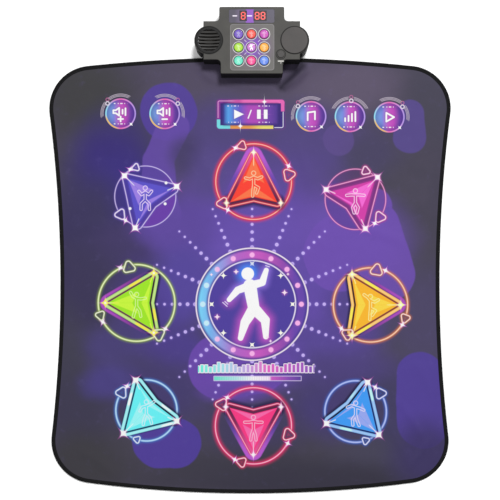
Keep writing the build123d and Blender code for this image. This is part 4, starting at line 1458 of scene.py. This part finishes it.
def shell_paint(art, place):
    """The top face grey and everything below it near-black, a small printed sign by the power button, and
    painted shade in the gaps round the pod cover, the grille and the power button.
    """
    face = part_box("console_top_shell")[1][2] / MM
    art.lay("#181817", surface_height(art.tree).over(face - 0.15, face - 0.6))
    low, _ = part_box("power_button")
    x, y = middle("power_button")[0], low[1] / MM - 5.0
    spot = place.about((x, y))
    art.lay("#DCDAD4", inside(spot.in_box((6.2, 0.9), 0.6), 0.6) * 0.9)
    ring = spot.about((0, -3.4))
    art.lay("#DCDAD4", line(ring.to((0, 0)) - 1.2, 0.5, 0.3) * 0.8)
    # painted shade in the gap round the pod cover, the grille and the power button
    for name in ("pod_cover", "speaker_grille", "power_button"):
        gap = place.to(middle(name)) - half_size(name)[0]
        art.lay("#0C0C0C", inside(abs(gap - 0.8) - 0.9, 0.8) * 0.9)


def dark_rim(name, width):
    """A plastic disc's rim in shadow."""
    def paint(art, place):
        away = place.to(middle(name))
        edge = half_size(name)[0]
        art.lay("#121212", away.over(edge - width, edge - width + 1.2) * 0.92)
    return paint


cover_paint = dark_rim("pod_cover", 1.0)
grille_paint = dark_rim("speaker_grille", 5.5)
button_paint = dark_rim("power_button", 0.9)


def digit_material():
    """The display's digits, lit red."""
    material, tree, shader = new_material("lit digits", Emission_Strength=0.6, Roughness=0.4)
    place = surface_place(tree, flat=False)
    cells = noise(tree, place, 1.2, detail=2.0)
    tree.links.new(cells.ramp((0.3, "#B01818"), (0.7, "#D02820")), shader.inputs["Base Color"])
    tree.links.new(cells.ramp((0.3, "#C01414"), (0.7, "#F02C20")), shader.inputs["Emission Color"])
    bump(tree, shader, cells, 0.00005, 0.3)
    return material


def cell_distance(tree, place, scale, metric="EUCLIDEAN"):
    """How far a place is from the middle of its random cell."""
    node = tree.nodes.new("ShaderNodeTexVoronoi")
    node.distance = metric
    feed(tree, place, node.inputs["Vector"])
    node.inputs["Scale"].default_value = scale
    return Value(tree, node.outputs["Distance"])


def circuit_material():
    """Green board with copper tracks and solder spots."""
    material, tree, shader = new_material("circuit board", Specular_IOR_Level=0.5)
    place = surface_place(tree)
    tracks = cell_distance(tree, place, 0.16, "MANHATTAN")
    art = Print(tree, noise(tree, place, 0.2).ramp((0.3, "#0E4A2C"), (0.7, "#146038")))
    art.lay("#2A8050", line(tracks * 6.0 - 2.4, 0.6, 0.4) * 0.8)
    art.lay("#C8C8B8", inside(tracks * 6.0 - 0.7, 0.3))
    finish_surface(tree, shader, art.colour, tracks * 0.2 + 0.3, tracks, 0.0002, 0.3)
    return material


def printed_film(name, base, track):
    """Clear circuit film with printed tracks."""
    material, tree, shader = new_material(name, Specular_IOR_Level=0.5)
    place = surface_place(tree)
    mottle = noise(tree, place, 0.05, detail=3.0)
    rows = (place.x * (2 * math.pi / 9.0)).math("SINE").over(0.9, 0.98)
    art = Print(tree, mottle.ramp((0.3, base), (0.7, "#E4E8EC")))
    art.lay(track, rows * 0.8)
    finish_surface(tree, shader, art.colour, mottle * 0.2 + 0.25, rows, 0.0001, 0.3)
    return material


def speckled(name, colour, dark, pore, depth, roughness):
    """Open foam, paper or rubber: pores or fibres in two tones."""
    material, tree, shader = new_material(name, Specular_IOR_Level=0.2)
    place = surface_place(tree, flat=False)
    pores = cell_distance(tree, place, pore)
    tones = pores.ramp((0.1, dark), (0.6, colour))
    finish_surface(tree, shader, tones, pores * 0.15 + (roughness - 0.05), pores, depth, 0.6)
    return material


BODY, BODY_DARK = "#4A4946", "#41403E"
BASE, BASE_DARK = "#1C1C1B", "#141414"
finishes = {
    "console_top_shell": moulded("console plastic", BODY, BODY_DARK, 0.55, paint=shell_paint),
    "keypad_overlay": moulded("keypad film", "#646260", "#5A5856", 0.42, 3.0, 0.00003, overlay_paint),
    "display_panel": moulded("display film", "#4C4858", "#44404E", 0.35, 3.0, 0.00002, display_paint),
    "speaker_grille": moulded("grille plastic", "#393837", "#31302F", 0.5, paint=grille_paint),
    "pod_cover": moulded("pod cover plastic", "#494645", "#403E3D", 0.5, paint=cover_paint),
    "power_button": moulded("power button plastic", "#403E3D", "#363433", 0.4, paint=button_paint),
    "digit_modules": moulded("digit module plastic", "#2A2024", "#1C1418", 0.35),
    "digit_segments": digit_material(),
    "key_leds": moulded("led lens", "#E8E8F0", "#D0D0E0", 0.2),
    "main_board": circuit_material(),
    "speaker_cone": speckled("cone paper", "#2E2C2A", "#201E1C", 1.5, 0.0002, 0.85),
    "speaker_frame": brushed("speaker frame steel", "#8A8C8E", "#6E7072"),
    "speaker_magnet": brushed("magnet", "#4A4C50", "#36383C", 0.45),
    "batteries": moulded("battery jacket", "#2E5A8C", "#224870", 0.3),
    "battery_contacts": brushed("spring steel", "#C8CACC", "#A0A2A4", 0.25),
    "rubber_feet": speckled("rubber", "#262626", "#1A1A1A", 1.2, 0.0001, 0.8),
    "spacer_foam": speckled("foam", "#E8E4D8", "#C8C4B4", 1.0, 0.0005, 0.9),
    "lower_circuit_film": printed_film("circuit film", "#D0D6DC", "#50545C"),
    "lower_contacts": printed_film("carbon print", "#3A3A3E", "#202024"),
    "mat_tongue": spun_fabric("tongue fabric", "#34323E", "#24222C", 1.1),
}
for name in ("console_bottom_shell", "tongue_clamp", "battery_door", "battery_tray"):
    finishes[name] = moulded(name.replace("_", " "), BASE, BASE_DARK, 0.55)
for name in ("power_switch", "key_switches"):
    finishes[name] = moulded(name.replace("_", " "), "#2C2C2E", "#202022", 0.4)
for name in ("console_screws", "clamp_screws", "board_screws", "battery_door_screw"):
    finishes[name] = brushed(name.replace("_", " "), "#B4B6B8", "#8C8E90", 0.3)
for name, (body, rim) in KEYS.items():
    finishes[name] = moulded(name.replace("_", " "), body, rim, 0.32, 3.0, 0.00002, key_paint(name),
                             Subsurface_Weight=0.15, Subsurface_Scale=0.004, Coat_Weight=0.2)

for name, material in finishes.items():
    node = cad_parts[name]
    for place_in_list in node.material_slots:
        place_in_list.material = material
    if not node.material_slots:
        node.data.materials.append(material)

# ============================================================ the mat
areas = {}
for name in ARROWS:
    areas[name] = mat_fabric(name.replace("_", " "), arrow_pad(name))
for name in RINGS:
    areas[name] = mat_fabric(name.replace("_", " "), control_pad(name))
areas["pad_centre"] = mat_fabric("pad centre", medallion)
areas["pad_start"] = mat_fabric("pad start", start_pad)
plain = mat_fabric("mat ground")
legend_material = mat_fabric("mat legend", legend)
underside = spun_fabric("backing cloth", "#2E2E32", "#1C1C20", 1.4, 0.85, dot_pitch=8.0)
binding = spun_fabric("binding tape", "#141415", "#0B0B0C", 0.8, 0.8)
thread = spun_fabric("stitching thread", "#262528", "#18171A", 0.4, 0.7)

flat, triangles = triangulated_mat()
centres = flat[triangles].mean(axis=1)
depth_in = np.stack([in_pad(name, centres[:, 0], centres[:, 1]) for name in PAD_NAMES])
owner = depth_in.argmax(axis=0)
deepest = depth_in.max(axis=0)
arrow_margin, other_margin = 24.0, 14.0  # how far a pad's print reaches past its edge
margin_of = np.array([arrow_margin if name in ARROWS else other_margin for name in PAD_NAMES])[owner]
legend_low, legend_high = (-118.0, -268.0), (140.0, -219.0)
in_legend = ((centres > legend_low) & (centres < legend_high)).all(axis=1) & (deepest < 0)

cover_materials = [areas[name] for name in PAD_NAMES] + [plain, legend_material, underside]
slots = np.where(deepest > -margin_of, owner, len(PAD_NAMES))
slots = np.where(in_legend, len(PAD_NAMES) + 1, slots)
on_cover = deepest < 0
cover = closed_patch("mat_cover", flat, triangles[on_cover], cover_low, cover_materials, slots[on_cover])
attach(cover, "root")
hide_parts("mat_top_sheet")
corners = flat[triangles[on_cover]]
edge_a, edge_b = corners[:, 1] - corners[:, 0], corners[:, 2] - corners[:, 0]
cover_area = float(np.abs(edge_a[:, 0] * edge_b[:, 1] - edge_a[:, 1] * edge_b[:, 0]).sum() / 2) * MM * MM

large_bend, small_bend = 12.0, 9.0  # how far in from its edge a pad's press weights rise to the whole travel
for k, name in enumerate(PAD_NAMES):
    inner = (owner == k) & (deepest >= 0)
    count = int(inner.sum())
    patch = closed_patch(f"patch_{name[4:]}", flat, triangles[inner], pad_low, [areas[name]], [0] * count)
    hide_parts(name)
    press_weights(patch, name, large_bend if name in ARROWS or name == "pad_centre" else small_bend)

tape_profile = (
    # inset and height in millimetres round the tape's section: underside, rolled outer edge, top
    (tape_width, 0.0), (tape_width / 2, 0.0), (1.2, 0.0), (0.35, 0.5), (0.0, 1.6), (0.0, 3.2),
    (0.2, 4.6), (0.9, 5.4), (2.4, tape_top - 0.15), (4.6, tape_top - 0.1), (6.8, tape_top - 0.3),
    (tape_width - 0.2, tape_top - 0.75), (tape_width, cover_top - 0.2),
    (tape_width - 0.8, cover_top - 0.6), (1.3, cover_top - 0.6),
    (1.3, backing_top), (tape_width, backing_top),
)
tape_step, tape_pucker = 2.6, 0.10
tape = swept_tape("edge_tape", tape_profile, tape_step, tape_pucker, binding)
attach(tape, "root")
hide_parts("edge_binding")
stitch_inset, stitch_height, stitch_pitch = tape_width - 1.9, tape_top - 0.28, 4.2
stitches = stitch_row("tape_stitches", stitch_inset, stitch_height, stitch_pitch, thread)
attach(stitches, "root")

backing = slab("mat_backing", backing_inset, 0.0, backing_top, underside)
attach(backing, "root")
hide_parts("mat_bottom_sheet")

# ============================================================ room, light and camera
floor_mesh = bpy.data.meshes.new("floor")
floor_half, floor_level = 6.0, -0.0006
floor_corners = ((-floor_half, -floor_half), (floor_half, -floor_half),
                 (floor_half, floor_half), (-floor_half, floor_half))
floor_mesh.from_pydata([(x, y, floor_level) for x, y in floor_corners], [], [(0, 1, 2, 3)])
floor = add_object("floor", floor_mesh)
floor_material, *_ = new_material("floor", Base_Color="#FFFFFF", Roughness=0.9, Specular_IOR_Level=0.1)
floor_mesh.materials.append(floor_material)

world = bpy.data.worlds.new("studio")
bpy.context.scene.world = world
world.use_nodes = True
sky = world.node_tree.nodes["Background"].inputs
sky["Color"].default_value, sky["Strength"].default_value = linear("#FFFFFF"), 0.42


def area_light(name, place, size, power):
    """A square lamp that points at the middle of the mat; its size in metres, its power in watts."""
    data = bpy.data.lights.new(name, "AREA")
    data.shape, data.size, data.energy = "SQUARE", size, power
    lamp = add_object(name, data)
    lamp.location = place
    lamp.rotation_euler = (-Vector(place)).to_track_quat("-Z", "Y").to_euler()


area_light("key light", (0.9, 2.3, 4.2), 1.2, 210.0)
area_light("fill light", (-1.5, -1.5, 3.2), 1.8, 30.0)

scene = bpy.context.scene
scene.view_settings.view_transform = "Standard"
camera_data = bpy.data.cameras.new("camera")
camera_data.lens, camera_data.sensor_width = 50.0, 36.0
camera_data.clip_start, camera_data.clip_end = 0.05, 30.0
camera = add_object("camera", camera_data)
camera.location = (0.0, 0.0063, 1.4375)  # straight above, looking down
scene.camera = camera
